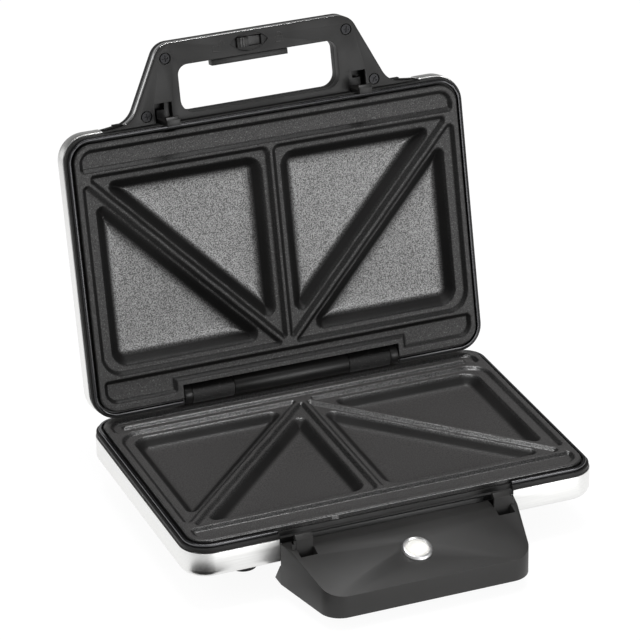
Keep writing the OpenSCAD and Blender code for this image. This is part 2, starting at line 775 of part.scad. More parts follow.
module lid_hinge_arms() {
    x0 = barrel_half + leaf_gap;
    x1 = x0 + knuckle_l;
    color("dimgray") difference() {
        union() {
            mirrored() at_axis() along_x(x0, x1) {
                circle(barrel_r);
                polygon([[-1, -hinge_rise + 0.6], [8, -hinge_rise + 0.6], [4.2, 4.6], [0, 0]]);
            }
            in_lid() mirrored() block([x0, hinge_inset, -plate_under - arm_t], [x1, arm_v + 5, -plate_under]);
        }
        hinge_bore(pin_d + 2 * pin_fit);
        in_lid() for (x = arm_x) rod([x, arm_v, -plate_under - arm_t - 1], screw_d + 0.4, arm_t + 2);
    }
}

// ---- Heating parts -------------------------------------------------------

module heater() {
    difference() {
        band(heater_half, heater_v0, heater_v1, heater_r) translate([0, -heater_w]) circle(d = heater_d);
        block([-22, heater_v0 - 5, -heater_w - 5], [22, heater_v0 + 5, -heater_w + 5]);
    }
    mirrored() stick([22.5, heater_v0, -heater_w], [12, heater_v0, -heater_w], 2.4);
}
module heater_clips() {
    low = heater_w + heater_d / 2 + 1;
    for (x = [-heater_half, heater_half]) for (v = [heater_v0 + 26, heater_v1 - 26]) difference() {
        block([x - 5.2, v - 4, -low], [x + 5.2, v + 4, -plate_under]);
        translate([x, v - 5, -heater_w]) rotate([-90, 0, 0]) cylinder(d = heater_d, h = 10);
        block([x - heater_d / 2, v - 5, -heater_w], [x + heater_d / 2, v + 5, 1 - plate_under]);
    }
}
module reflector() {
    x = post_x - 7;
    difference() {
        union() {
            difference() {
                slab(frame_low, reflector_w + shim_t) outline(x, tray_v0, tray_v1, 6);
                slab(0, reflector_w) outline(x - shim_t, tray_v0 + shim_t, tray_v1 - shim_t, 6 - shim_t);
                block([-15, tray_v0 - 1, 1 - reflector_w], [15, tray_v0 + 2, 0]);
            }
            for (v = post_v) mirrored()
                block([x - shim_t / 2, v - 4.4, -frame_low - shim_t], [post_x + 4.4, v + 4.4, -frame_low]);
        }
        for (v = post_v) for (s = [-1, 1]) rod([s * post_x, v, -frame_low - 2], screw_d + 0.4, 4);
    }
}
module base_heater() {
    color("#55534f") in_base() heater();
}
module base_heater_clips() {
    color("silver") in_base() heater_clips();
}
module base_reflector() {
    color("silver") in_base() reflector();
}
module thermostat() {
    color("beige") in_base() {
        rod([0, plate_d / 2, -plate_under - 8], 16, 8);
        block([-11, plate_d / 2 - 3, -plate_under - 2], [11, plate_d / 2 + 3, -plate_under - 1]);
    }
}
module thermal_fuse() {
    w = plate_under + 2.5;
    color("gold") in_base() {
        stick([34, plate_d / 2 - 7, -w], [34, plate_d / 2 + 7, -w], 5);
        stick([34, plate_d / 2 - 16, -w], [34, plate_d / 2 + 16, -w], 1.2);
    }
}
module base_leads() {
    top = -pan_bottom + wall + terminal_h + lead_d / 2 + 0.1;
    color("khaki") in_base() {
        for (k = [[1, 5, 2.6], [-1, 15, 5.4]])
            wire([
                [terminal_x + k[1], terminal_v + 4, top], [terminal_x + k[1], terminal_v - k[2], top],
                [k[0] * lead_x, terminal_v - k[2], -lead_w], [k[0] * lead_x, heater_v0 - 1.6, -heater_w],
            ], lead_d);
    }
}
module lid_heater() {
    color("#55534f") in_lid() heater();
}
module lid_heater_clips() {
    color("silver") in_lid() heater_clips();
}
module lid_reflector() {
    color("silver") in_lid() reflector();
}
module lid_leads() {
    color("khaki") in_lid() for (s = [-1, 1]) wire([
        [s * lead_x, heater_v0 - 1.6, -heater_w], [s * lead_x, 18, -heater_w], [s * 20, 12, -heater_w],
    ], lead_d);
}

// ---- Handle --------------------------------------------------------------

// Outline of the handle, with a flare where each leg meets the lid
module handle_plan() {
    polygon(rounded(both([
        [handle_foot + 18.6, handle_v0 - 0.1, 0],
        [handle_foot, handle_v0 + 2.1, 14],
        [handle_half, handle_reach, 11],
    ]), 10));
}
// The same outline moved inwards by d, without the flares
module handle_inside(d) {
    polygon(rounded(grown(both([
        [handle_foot + 1, handle_v0 - 0.1, 0],
        [handle_half, handle_reach, 11],
    ]), -d), 10));
}
module grip_plan(d) {
    polygon(rounded(grown(both([[grip_open_half, open_low, 8], [grip_open_half, open_top, 6]]), d), 10));
}
module finger_window(top, bottom) {
    gap = 0.9;
    block([bar_mid - bar_half - gap, open_top - 4, -bottom], [bar_mid + bar_half + gap, open_top + 4, -top]);
}
module handle_inner() {
    low = handle_low + inner_t;
    color("#1f1f21") in_lid() difference() {
        union() {
            slab(handle_low, low) handle_plan();
            difference() {
                slab(low - tiny, low + 3.1) grip_plan(1.8);
                finger_window(low, low + 4);
            }
            difference() {
                slab(low - tiny, low + 2) difference() {
                    handle_inside(1.8);
                    handle_inside(3);
                }
                block([bar_mid - bar_half - 1, open_top + 3, -low - 3], [bar_mid + bar_half + 1, handle_reach, -low]);
                block([-handle_foot - 20, plate_d, -low - 3], [handle_foot + 20, handle_v0 + 14, -low]);
            }
        }
        slab(0, low + 9) grip_plan(0);
        for (s = [-1, 1]) for (p = [screw_up, screw_low]) {
            rod([s * p[0], p[1], -low - 1], screw_d + 0.4, 9);
            rod([s * p[0], p[1], -handle_low - 1.3], 6.8, 3);
        }
        slab(0, handle_low + 1) translate([slot_x, slot_v]) intersection_for(s = [-1, 1])
            translate([0, s * 9.6]) circle(15.2);
        slab(0, low + 1) translate([slot_x, slot_v]) square([slot_w, slot_h], center = true);
        mirrored() block([hook_x - 4.6, plate_d, -low - 4], [hook_x + 6, hook_tip + hook_travel + 3.2, 0]);
    }
}
module handle_trim() {
    top = handle_low + inner_t + 0.2;
    color("gainsboro") in_lid() difference() {
        slab(top, top + trim_t) handle_plan();
        slab(top - 1, top + trim_t + 1) handle_inside(1.6);
        block([-handle_foot - 20, plate_d, -top - 9], [handle_foot + 20, handle_v0 + 2, 0]);
    }
}
module handle_outer() {
    top = handle_high - outer_t;
    skin = handle_high - wall;
    color("#1f1f21") in_lid() difference() {
        union() {
            slab(skin, handle_high) handle_plan();
            slab(top, skin + tiny) difference() {
                handle_plan();
                handle_inside(2);
            }
            difference() {
                slab(handle_low + inner_t + 3.3, skin + tiny) grip_plan(1.8);
                finger_window(0, skin);
            }
            for (s = [-1, 1]) for (p = [screw_up, screw_low])
                rod([s * p[0], p[1], -skin - tiny], 7, skin - frame_w - frame_t - 0.3);
            for (x = handle_lug_x)
                block([x - 6, front_v - 5, -frame_low - 2.8], [x + 6, handle_v0 + 2, -frame_low]);
        }
        slab(0, handle_high + 1) grip_plan(0);
        for (s = [-1, 1]) for (p = [screw_up, screw_low]) rod([s * p[0], p[1], -skin - 0.6], screw_d, 9);
        for (x = handle_lug_x) rod([x, front_v, -frame_low - 4], screw_d, 6);
    }
}

// ---- Latch ---------------------------------------------------------------

module lock_knob() {
    x0 = slot_x - slot_w / 2 + 0.2;
    mid = x0 + knob_w / 2;
    half = slot_h / 2 - 0.15;
    color("#1f1f21") in_lid() {
        block([x0, slot_v - half, -slide_w - tiny], [x0 + knob_w, slot_v + half, -handle_low + 0.9]);
        for (k = [-1 : 1]) block([mid + 1.6 * k - 0.35, slot_v - half, -handle_low + 0.9 - tiny],
            [mid + 1.6 * k + 0.35, slot_v + half, -handle_low + 1.3]);
        block([x0 - knob_travel - 0.8, slot_v - 3.8, -slide_w - slide_t],
            [slot_x + slot_w / 2 + 1, slot_v + 3.8, -slide_w]);
        rod([mid, cam_v, -frame_w - frame_t - 0.6], cam_d, frame_w + frame_t + 0.6 - slide_w);
    }
}
module hook_frame() {
    low = frame_w + frame_t;
    right = bar_mid + bar_half;
    left = bar_mid - bar_half;
    run = [knob_travel, -hook_travel];
    start = [slot_x - slot_w / 2 + 0.2 + knob_w / 2, cam_v];
    half = cam_d / 2 + cam_gap;
    color("#2a2a2c") in_lid() {
        difference() {
            slab(frame_w, low) {
                translate([left, open_top - bar_drop]) square([right - left, bar_drop + 8.2]);
                translate([-hook_x + 5.4, open_top + 2.7]) square([2 * hook_x - 10.8, 3.4]);
                mirrored() {
                    translate([hook_x - 7.4, open_top - 2]) square([1.9, 7]);
                    translate([hook_x - 7, hook_v + 4]) square([6, open_top - hook_v - 5]);
                    translate([hook_x - 7, hook_v]) square([3 + hook_w, 7]);
                }
            }
            slab(frame_w - 1, low + 1) translate(start) rotate(atan2(run[1], run[0])) polygon(rounded([
                [-half, -half, half - tiny], [norm(run) + half, -half, half - tiny],
                [norm(run) + half, half, half - tiny], [-half, half, half - tiny],
            ]));
        }
        block([left, open_top - bar_drop, -handle_high + wall + 0.3], [right, open_top - 0.7, -slide_w - 0.2]);
        mirrored() {
            block([hook_x - hook_w / 2, hook_v, -low], [hook_x + hook_w / 2, hook_v + hook_t, hook_reach]);
            along_x(hook_x - hook_w / 2, hook_x + hook_w / 2) polygon([
                [hook_v, hook_reach], [hook_tip - 1.6, hook_reach], [hook_tip, hook_reach - 1.2],
                [hook_tip, tab_low + plate_gap + foot_gap], [hook_v, tab_low + plate_gap + foot_gap],
            ]);
        }
    }
}
module detent_spring() {
    skin = handle_high - wall;
    mid = slot_x - slot_w / 2 + 0.2 + knob_w / 2;
    color("silver") in_lid() translate([mid, cam_v + 2, -skin]) rotate([90, 0, 0]) linear_extrude(4) polygon([
        [-6, 0], [-4, 1.4], [-1.5, 0.9], [1.5, 0.9], [3, 1.6], [4.5, 0.9], [7.5, 0.9], [10, 1.4], [12, 0],
        [11, 0], [9.8, 0.9], [7.5, 0.4], [4.5, 0.4], [3, 1.1], [1.5, 0.4], [-1.5, 0.4], [-3.8, 0.9], [-5, 0],
    ]);
}

// ---- Screws --------------------------------------------------------------

module screw_up_at(p, l) {
    translate(p) screw(screw_d, l, 5.6, 2);
}
module screw_down_at(p, l, head_h = 2) {
    translate(p) mirror([0, 0, 1]) screw(screw_d, l, 5.6, head_h);
}
module plate_screws() {
    for (x = [-lug_x, lug_x]) for (v = lug_v) screw_up_at([x, v, -9 - lug_t], 7.5);
}
module base_plate_screws() {
    color("silver") in_base() plate_screws();
}
module lid_plate_screws() {
    color("silver") in_lid() plate_screws();
}
module pan_screws() {
    color("silver") in_base() for (x = [-post_x, post_x]) for (v = post_v)
        screw_up_at([x, v, -pan_seat], pan_seat - frame_low + lug_t);
}
module nose_screws() {
    color("silver") in_base() {
        for (x = nose_lug_x) screw_up_at([x, front_v, -frame_low - lug_t], lug_screw_l);
        for (x = [-1, 1]) screw_up_at([x * nose_screw_x, nose_screw_v, -nose_bottom], nose_screw_l);
    }
}
module hinge_screws() {
    color("silver") in_base() for (x = bracket_x) screw_down_at([x, bracket_v, -bracket_low + lug_t], bracket_screw_l);
}
module hinge_arm_screws() {
    color("silver") in_lid() for (x = arm_x) screw_up_at([x, arm_v, -plate_under - arm_t], arm_t + 4);
}
module lid_shell_screws() {
    color("silver") in_lid() for (x = [-post_x, post_x]) for (v = post_v)
        screw_down_at([x, v, sink_w - frame_low], 7, 1.8);
}
module handle_screws() {
    color("silver") in_lid() for (s = [-1, 1]) for (p = [screw_up, screw_low])
        screw_down_at([s * p[0], p[1], -handle_low - 1.3], 6.8, 1.2);
}
module handle_mount_screws() {
    color("silver") in_lid() for (x = handle_lug_x) screw_down_at([x, front_v, lug_t - frame_low], lug_screw_l);
}

base_plate();
base_frame();
base_trim_ring();
base_shell();
base_pan();
rubber_feet();
nose_housing();
nose_underside();
lamp_bezel();
lamp_lens();
lamp_holder();
hinge_bracket();
hinge_pin();
hinge_screws();
cord_gland();
terminal_block();
base_heater();
base_heater_clips();
base_reflector();
thermostat();
thermal_fuse();
base_leads();
base_plate_screws();
pan_screws();
nose_screws();
lid_plate();
lid_frame();
lid_trim_ring();
lid_shell();
lid_hinge_arms();
lid_heater();
lid_heater_clips();
lid_reflector();
lid_leads();
lid_plate_screws();
lid_shell_screws();
hinge_arm_screws();
handle_inner();
handle_trim();
handle_outer();
handle_screws();
handle_mount_screws();
lock_knob();
hook_frame();
detent_spring();
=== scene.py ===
"""Sandwich toaster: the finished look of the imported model, made by an add-on that is run as a script."""

import json
import math

import bmesh
import bpy
import numpy as np
from bpy.props import FloatProperty, FloatVectorProperty, IntProperty, PointerProperty
from mathutils import Matrix, Vector


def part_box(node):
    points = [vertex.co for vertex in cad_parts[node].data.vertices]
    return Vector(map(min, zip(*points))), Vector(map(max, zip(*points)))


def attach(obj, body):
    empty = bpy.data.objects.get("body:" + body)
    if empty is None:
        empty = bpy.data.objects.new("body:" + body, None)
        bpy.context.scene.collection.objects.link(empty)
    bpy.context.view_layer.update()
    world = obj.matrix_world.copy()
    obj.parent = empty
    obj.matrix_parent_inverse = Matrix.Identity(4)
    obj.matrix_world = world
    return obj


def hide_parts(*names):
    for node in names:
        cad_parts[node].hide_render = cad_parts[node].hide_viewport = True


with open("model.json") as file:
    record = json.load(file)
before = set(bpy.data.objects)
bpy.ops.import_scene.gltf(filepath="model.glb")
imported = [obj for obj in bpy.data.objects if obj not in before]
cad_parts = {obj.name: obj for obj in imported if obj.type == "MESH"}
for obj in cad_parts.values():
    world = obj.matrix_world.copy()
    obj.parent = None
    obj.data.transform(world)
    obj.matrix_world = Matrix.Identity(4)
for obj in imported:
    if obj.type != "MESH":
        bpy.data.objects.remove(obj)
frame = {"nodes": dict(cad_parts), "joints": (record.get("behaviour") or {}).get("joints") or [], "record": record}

bl_info = {
    "name": "Sandwich Toaster",
    "version": (1, 0, 0),
    "blender": (4, 5, 0),
    "location": "3D View > Sidebar > Toaster",
    "description": "Dresses a hinged sandwich toaster with its plates, mouldings, screws and stage",
    "category": "Object",
}

MM = 0.001
ROUNDED_FROM = math.radians(32)
SHARP_FROM = math.radians(38)
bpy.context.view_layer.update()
PLATE_LOW, PLATE_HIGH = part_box("base_plate")
PIN_LOW, PIN_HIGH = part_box("hinge_pin")
HINGE_AXIS = (PIN_LOW + PIN_HIGH) / 2
LID_OPEN = next(joint for joint in frame["joints"] if joint["name"] == "lid_hinge")["range_deg"][1]


# ---- Sizes and colours that a user would change ----

def length(name, description, value, low=0.0, high=1.0):
    """A size property in metres."""
    return FloatProperty(name=name, description=description, default=value, min=low, max=high,
                         precision=5, unit="LENGTH", subtype="DISTANCE")


def share(name, description, value):
    """A property between 0 and 1."""
    return FloatProperty(name=name, description=description, default=value, min=0.0, max=1.0,
                         subtype="FACTOR")


def angle(name, description, degrees):
    """An angle property, given in degrees."""
    return FloatProperty(name=name, description=description, default=math.radians(degrees), subtype="ANGLE")


def power(name, description, value):
    """The power of a light in watts."""
    return FloatProperty(name=name, description=description, default=value, min=0.0, unit="POWER")


def colour(name, description, value):
    """A colour property."""
    return FloatVectorProperty(name=name, description=description, default=value, size=3,
                               min=0.0, max=1.0, subtype="COLOR")


class ToasterPlates(bpy.types.PropertyGroup):
    """Sizes of the two cooking plates."""
    width: length("Width", "Width of a plate, left to right", PLATE_HIGH[0] - PLATE_LOW[0])
    depth: length("Depth", "Depth of a plate, front to back", PLATE_HIGH[1] - PLATE_LOW[1])
    corner: length("Corner radius", "Radius of a plate's outer corners", 11 * MM)
    edge: length("Edge thickness", "Thickness of a plate at its rim", 3.5 * MM)
    rim: length("Rim width", "Width of the flat rim", 3.3 * MM)
    ledge_depth: length("Ledge depth", "Depth of the troughs and ledges", 2 * MM)
    pocket_depth: length("Pocket depth", "Depth of the pockets", 8 * MM)
    ledge_run: length("Ledge slope", "Slope of a trough's wall, seen from above", 2.4 * MM)
    wall_run: length("Wall slope", "Slope of a pocket's wall, seen from above", 6.2 * MM)
    rib: length("Rib width", "Width of a rib's flat top", 1.7 * MM)
    trough_front: length("Front trough", "Depth of the front trough, front to back", 13.2 * MM)
    trough_rear: length("Rear trough", "Depth of the rear trough, front to back", 14.6 * MM)
    gap: length("Plate gap", "Gap between the closed plates", 0.6 * MM)
    step: length("Mesh step", "Distance between a plate's mesh lines", 0.8 * MM, 0.3 * MM)
    lid_sheen: share("Lid rim sheen", "Gloss of the lid plate's rim beside its pocket floors", 0.16)
    base_sheen: share("Base rim sheen", "Gloss of the base plate's rim", 0.7)
    edge_sheen: share("Edge sheen", "Gloss of the edges of ribs and troughs", 0.75)
    floor_sheen: share("Base floor sheen", "Gloss of the base plate's pocket floors", 0.5)


class ToasterTrim(bpy.types.PropertyGroup):
    """Sizes of the edges and small pieces."""
    soft_edge: length("Moulded edge", "Edge radius of the large mouldings", 1.3 * MM)
    fine_edge: length("Fine edge", "Edge radius of small pieces", 0.35 * MM)
    head: length("Screw head", "Diameter of a handle screw's head", 5.6 * MM)
    head_height: length("Screw head height", "Height of a handle screw's head", 1.1 * MM)
    recess: length("Cross recess", "Width of the cross recess's arms", 0.85 * MM)
    shank: length("Screw shank", "Diameter of a handle screw's shank", 3 * MM)
    shank_length: length("Shank length", "Length of a handle screw below its head", 6.8 * MM)
    emboss: length("Mark height", "Height of the padlock marks", 0.16 * MM)
    facets: IntProperty(name="Facets", description="Sides of a screw head", default=40, min=12, max=96)


class ToasterFinish(bpy.types.PropertyGroup):
    """Colours of the finishes."""
    coating: colour("Coating", "Non-stick coating of the plates", (0.034, 0.0328, 0.0325))
    # The fleck colour is both the coating's own speckle and painted glints.
    fleck: colour("Fleck", "Light flecks in the coating", (0.10, 0.10, 0.098))
    moulding: colour("Moulding", "Matt black plastic", (0.016, 0.0156, 0.0152))
    steel: colour("Steel", "Satin stainless shells", (0.86, 0.86, 0.85))
    chrome: colour("Chrome", "Polished lamp ring", (0.90, 0.90, 0.90))
    strip: colour("Dark strip", "Dark satin strips round the plates", (0.13, 0.13, 0.135))
    lens: colour("Lens", "Milky lamp lens", (0.90, 0.89, 0.85))


class ToasterStage(bpy.types.PropertyGroup):
    """Camera and light of the stage."""
    focal: FloatProperty(name="Focal length", description="Focal length of the camera", default=212.3,
                         unit="CAMERA")
    yaw: angle("Yaw", "Turn of the camera about the vertical", 21.783)
    pitch: angle("Pitch", "Downward tilt of the camera", 25.985)
    roll: angle("Roll", "Roll of the camera", -0.847)
    place: FloatVectorProperty(name="Place", description="Place of the camera", size=3, unit="LENGTH",
                               default=(-0.7267, -1.7902, 1.0616), subtype="TRANSLATION")
    key: power("Key light", "Power of the light at the front right", 9.6)
    top: power("Top light", "Power of the light above", 9.8)
    fill: power("Fill light", "Power of the light at the left", 3.0)
    sky: share("Sky", "Strength of the surrounding light", 0.45)
    ceiling: share("Ceiling", "Brightness of the ceiling in reflections", 0.12)


# ---- Places ----

def half_width(node):
    """Half of a node's width."""
    low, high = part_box(node)
    return (high[0] - low[0]) / 2


def base_place():
    """Matrix from a base part's local frame: x right, y forwards from the plates' rear edge, z up."""
    return Matrix(((1, 0, 0, 0), (0, -1, 0, PLATE_HIGH[1]), (0, 0, 1, PLATE_HIGH[2]), (0, 0, 0, 1)))


def lid_place(gap):
    """Matrix from a lid part's local frame to the open lid; z points from the lid to the base."""
    closed = Matrix(((1, 0, 0, 0), (0, -1, 0, PLATE_HIGH[1]), (0, 0, -1, PLATE_HIGH[2] + gap), (0, 0, 0, 1)))
    swing = Matrix.Rotation(-math.radians(LID_OPEN), 4, "X")
    return Matrix.Translation(HINGE_AXIS) @ swing @ Matrix.Translation(-HINGE_AXIS) @ closed


# ---- Shared shader groups ----

def new_group(name, inputs, outputs):
    """A shader node group with a Vector, float inputs and float outputs; returns it and its two ends."""
    group = bpy.data.node_groups.new(name, "ShaderNodeTree")
    group.interface.new_socket(name="Vector", in_out="INPUT", socket_type="NodeSocketVector")
    for label, value in inputs.items():
        socket = group.interface.new_socket(name=label, in_out="INPUT", socket_type="NodeSocketFloat")
        socket.default_value = value
    for label in outputs:
        group.interface.new_socket(name=label, in_out="OUTPUT", socket_type="NodeSocketFloat")
    return group, group.nodes.new("NodeGroupInput"), group.nodes.new("NodeGroupOutput")


def shared_group(name, build):
    """The named group, built on its first use."""
    return bpy.data.node_groups.get(name) or build(name)


def feed(tree, slot, value):
    """Links a socket to an input, or sets the input to a value."""
    if isinstance(value, bpy.types.NodeSocket):
        tree.links.new(value, slot)
    elif value is not None:
        slot.default_value = value


def maths(tree, operation, first, second=None):
    """A Math node whose inputs are sockets or numbers; returns its output."""
    node = tree.nodes.new("ShaderNodeMath")
    node.operation = operation
    for slot, value in zip(node.inputs, (first, second)):
        feed(tree, slot, value)
    return node.outputs[0]


def ramp(tree, value, low, high, to_low=0.0, to_high=1.0):
    """A smooth Map Range; returns its output."""
    node = tree.nodes.new("ShaderNodeMapRange")
    node.interpolation_type = "SMOOTHSTEP"
    for slot, number in zip(node.inputs, (value, low, high, to_low, to_high)):
        feed(tree, slot, number)
    return node.outputs[0]


def noise(tree, place, scale, detail):
    """A Noise Texture; returns its value."""
    node = tree.nodes.new("ShaderNodeTexNoise")
    for label, value in (("Vector", place), ("Scale", scale), ("Detail", detail)):
        feed(tree, node.inputs[label], value)
    return node.outputs[0]


def build_flecks(name):
    """Small round flecks scattered over a surface."""
    group, start, end = new_group(name, {"Scale": 900.0, "Amount": 0.3}, ("Mask",))
    cells = group.nodes.new("ShaderNodeTexVoronoi")
    chance = group.nodes.new("ShaderNodeSeparateColor")
    for label in ("Vector", "Scale"):
        group.links.new(start.outputs[label], cells.inputs[label])
    group.links.new(cells.outputs["Color"], chance.inputs[0])
    chosen = maths(group, "LESS_THAN", chance.outputs[0], start.outputs["Amount"])
    size = ramp(group, chance.outputs[1], 0.0, 1.0, 0.16, 0.42)
    dot = maths(group, "LESS_THAN", cells.outputs["Distance"], size)
    group.links.new(maths(group, "MULTIPLY", chosen, dot), end.inputs[0])
    return group


def build_grain(name):
    """Fine moulded grain with a slow change of tone."""
    group, start, end = new_group(name, {"Scale": 1500.0, "Tone scale": 24.0}, ("Height", "Tone"))
    fine = noise(group, start.outputs["Vector"], start.outputs["Scale"], 3.0)
    slow = noise(group, start.outputs["Vector"], start.outputs["Tone scale"], 4.0)
    group.links.new(fine, end.inputs[0])
    group.links.new(ramp(group, slow, 0.3, 0.7), end.inputs[1])
    return group


def build_brushing(name):
    """Long fine scratches along X, as satin sheet has."""
    group, start, end = new_group(name, {"Scale": 900.0, "Stretch": 0.02}, ("Height", "Tone"))
    along = group.nodes.new("ShaderNodeCombineXYZ")
    for slot, value in zip(along.inputs, (start.outputs["Stretch"], 1.0, 1.0)):
        feed(group, slot, value)
    squeeze = group.nodes.new("ShaderNodeVectorMath")
    squeeze.operation = "MULTIPLY"
    group.links.new(start.outputs["Vector"], squeeze.inputs[0])
    group.links.new(along.outputs[0], squeeze.inputs[1])
    lines = noise(group, squeeze.outputs[0], start.outputs["Scale"], 3.0)
    group.links.new(lines, end.inputs[0])
    group.links.new(ramp(group, lines, 0.35, 0.65), end.inputs[1])
    return group


# ---- Materials ----

def start_material(name):
    """A node material, its tree, its shader and an Object coordinate."""
    material = bpy.data.materials.new(name)
    material.use_nodes = True
    tree = material.node_tree
    place = tree.nodes.new("ShaderNodeTexCoord").outputs["Object"]
    return material, tree, tree.nodes["Principled BSDF"], place


def use_group(tree, name, build, place, **values):
    """A shared group placed in a material with its own values."""
    node = tree.nodes.new("ShaderNodeGroup")
    node.node_tree = shared_group(name, build)
    tree.links.new(place, node.inputs["Vector"])
    for label, value in values.items():
        node.inputs[label.replace("_", " ")].default_value = value
    return node


def blend_colours(tree, mask, low, high):
    """Colours mixed by a mask; each is a colour or a socket."""
    node = tree.nodes.new("ShaderNodeMix")
    node.data_type = "RGBA"
    tree.links.new(mask, node.inputs[0])
    for slot, value in ((node.inputs[6], low), (node.inputs[7], high)):
        feed(tree, slot, value if isinstance(value, bpy.types.NodeSocket) else (*value, 1.0))
    return node.outputs[2]


def bump(tree, shader, height, distance):
    """A Bump node from a height socket to the shader's normal."""
    node = tree.nodes.new("ShaderNodeBump")
    node.inputs["Distance"].default_value = distance
    tree.links.new(height, node.inputs["Height"])
    tree.links.new(node.outputs[0], shader.inputs["Normal"])


def shade(value, factor):
    """A colour made lighter or darker."""
    return tuple(min(1.0, channel * factor) for channel in value)


def mesh_value(tree, label):
    """A value that the mesh carries at its points."""
    node = tree.nodes.new("ShaderNodeAttribute")
    node.attribute_name = label
    return node.outputs["Fac"]


def even_value(tree, value):
    """One value for the whole surface."""
    node = tree.nodes.new("ShaderNodeValue")
    node.outputs[0].default_value = value
    return node.outputs[0]


def coating_material(name, finish, painted_light_tint, sand_and_glints, roughness=0.40, even=None):
    """Non-stick coating: matt black under a grainy gloss, by mesh values or by even (gloss, level); its steep
    walls are darkened with shade laid into the colour.
    """
    material, tree, shader, place = start_material(name)
    grain = use_group(tree, "Moulded grain", build_grain, place, Scale=1500.0, Tone_scale=18.0)
    flecks = use_group(tree, "Flecks", build_flecks, place, Scale=1900.0, Amount=sand_and_glints)
    if even:
        gloss, level = (even_value(tree, value) for value in even)
        sand_and_glint_mask = level
    else:
        gloss, level, sand_and_glint_mask = (mesh_value(tree, label) for label in ("sheen", "flat", "sand_and_glints"))
    # The tint is painted light: one coating made lighter or darker for each of its copies.
    full, painted_wall_shade = shade(finish.coating, painted_light_tint), shade(finish.coating, 0.15 * painted_light_tint)
    sparkle = ramp(tree, grain.outputs["Height"], 0.42, 0.58, 0.2, 1.0)
    tree.links.new(maths(tree, "MULTIPLY", gloss, sparkle), shader.inputs["Coat Weight"])
    # Painted shade: where the flat value is low, on the steep walls, the colour falls towards 0.15 of its full
    # level.
    tone = blend_colours(tree, level, painted_wall_shade, full)
    tone = blend_colours(tree, maths(tree, "MULTIPLY", grain.outputs["Tone"], 0.2), tone, full)
    # Light flecks: partly the coating's own speckle, partly painted glints, which also make the base's rims
    # lighter.
    spots = maths(tree, "MULTIPLY", flecks.outputs["Mask"], sand_and_glint_mask)
    tree.links.new(blend_colours(tree, spots, tone, finish.fleck), shader.inputs["Base Color"])
    tree.links.new(ramp(tree, grain.outputs["Height"], 0.35, 0.65, 0.48, 0.6), shader.inputs["Roughness"])
    shader.inputs["IOR"].default_value = 1.26
    shader.inputs["Coat IOR"].default_value = 2.15
    shader.inputs["Coat Roughness"].default_value = roughness
    bump(tree, shader, grain.outputs["Height"], 0.10 * MM)
    return material


def plastic_material(name, colour_value, roughness=0.46, grain_height=0.03):
    """Matt moulded plastic with a fine grain."""
    material, tree, shader, place = start_material(name)
    grain = use_group(tree, "Moulded grain", build_grain, place, Scale=2200.0, Tone_scale=30.0)
    tone = blend_colours(tree, grain.outputs["Tone"], shade(colour_value, 0.9), shade(colour_value, 1.12))
    tree.links.new(tone, shader.inputs["Base Color"])
    tree.links.new(ramp(tree, grain.outputs["Tone"], 0.0, 1.0, roughness - 0.04, roughness + 0.05),
                   shader.inputs["Roughness"])
    shader.inputs["IOR"].default_value = 1.4
    bump(tree, shader, grain.outputs["Height"], grain_height * MM)
    return material


def between(tree, place, half, front):
    """1 where a point lies within half of the middle and in front of a plane, else 0."""
    split = tree.nodes.new("ShaderNodeSeparateXYZ")
    tree.links.new(place, split.inputs[0])
    beside = maths(tree, "LESS_THAN", maths(tree, "ABSOLUTE", split.outputs[0]), half)
    return maths(tree, "MULTIPLY", beside, maths(tree, "LESS_THAN", split.outputs[1], front))


def metal_material(name, colour_value, roughness, stretch=0.02, depth=0.006, shade_region=None):
    """Metal with fine lines along X; nearly black, as shade laid into its colour, in a region given by its half
    width and its front.
    """
    material, tree, shader, place = start_material(name)
    lines = use_group(tree, "Brushing", build_brushing, place, Scale=1400.0, Stretch=stretch)
    grain = use_group(tree, "Moulded grain", build_grain, place, Scale=1200.0, Tone_scale=14.0)
    tone = blend_colours(tree, lines.outputs["Tone"], shade(colour_value, 0.97), shade(colour_value, 1.03))
    if shade_region:
        # Painted shade: nearly black where the shell lies between the nose and the plate.
        tone = blend_colours(tree, between(tree, place, *shade_region), tone, (0.06, 0.06, 0.06))
    tree.links.new(tone, shader.inputs["Base Color"])
    spread = maths(tree, "ADD", maths(tree, "MULTIPLY", lines.outputs["Tone"], 0.05),
                   maths(tree, "MULTIPLY", grain.outputs["Tone"], 0.05))
    tree.links.new(maths(tree, "ADD", spread, roughness - 0.05), shader.inputs["Roughness"])
    shader.inputs["Metallic"].default_value = 1.0
    bump(tree, shader, lines.outputs["Height"], depth * MM)
    return material


def dull_material(name, colour_value, roughness):
    """Ceramic, sleeve or rubber: soft grain and uneven tone."""
    return plastic_material(name, colour_value, roughness, 0.08)


def lens_material(name, finish):
    """Milky lamp lens that lets a little light in."""
    material, tree, shader, place = start_material(name)
    grain = use_group(tree, "Moulded grain", build_grain, place, Scale=500.0, Tone_scale=120.0)
    tone = blend_colours(tree, grain.outputs["Tone"], shade(finish.lens, 0.96), shade(finish.lens, 1.03))
    tree.links.new(tone, shader.inputs["Base Color"])
    tree.links.new(ramp(tree, grain.outputs["Tone"], 0.0, 1.0, 0.16, 0.22), shader.inputs["Roughness"])
    shader.inputs["Subsurface Weight"].default_value = 0.25
    shader.inputs["Subsurface Radius"].default_value = (1.0, 1.0, 0.9)
    shader.inputs["Subsurface Scale"].default_value = 1.5 * MM
    bump(tree, shader, grain.outputs["Height"], 0.01 * MM)
    return material


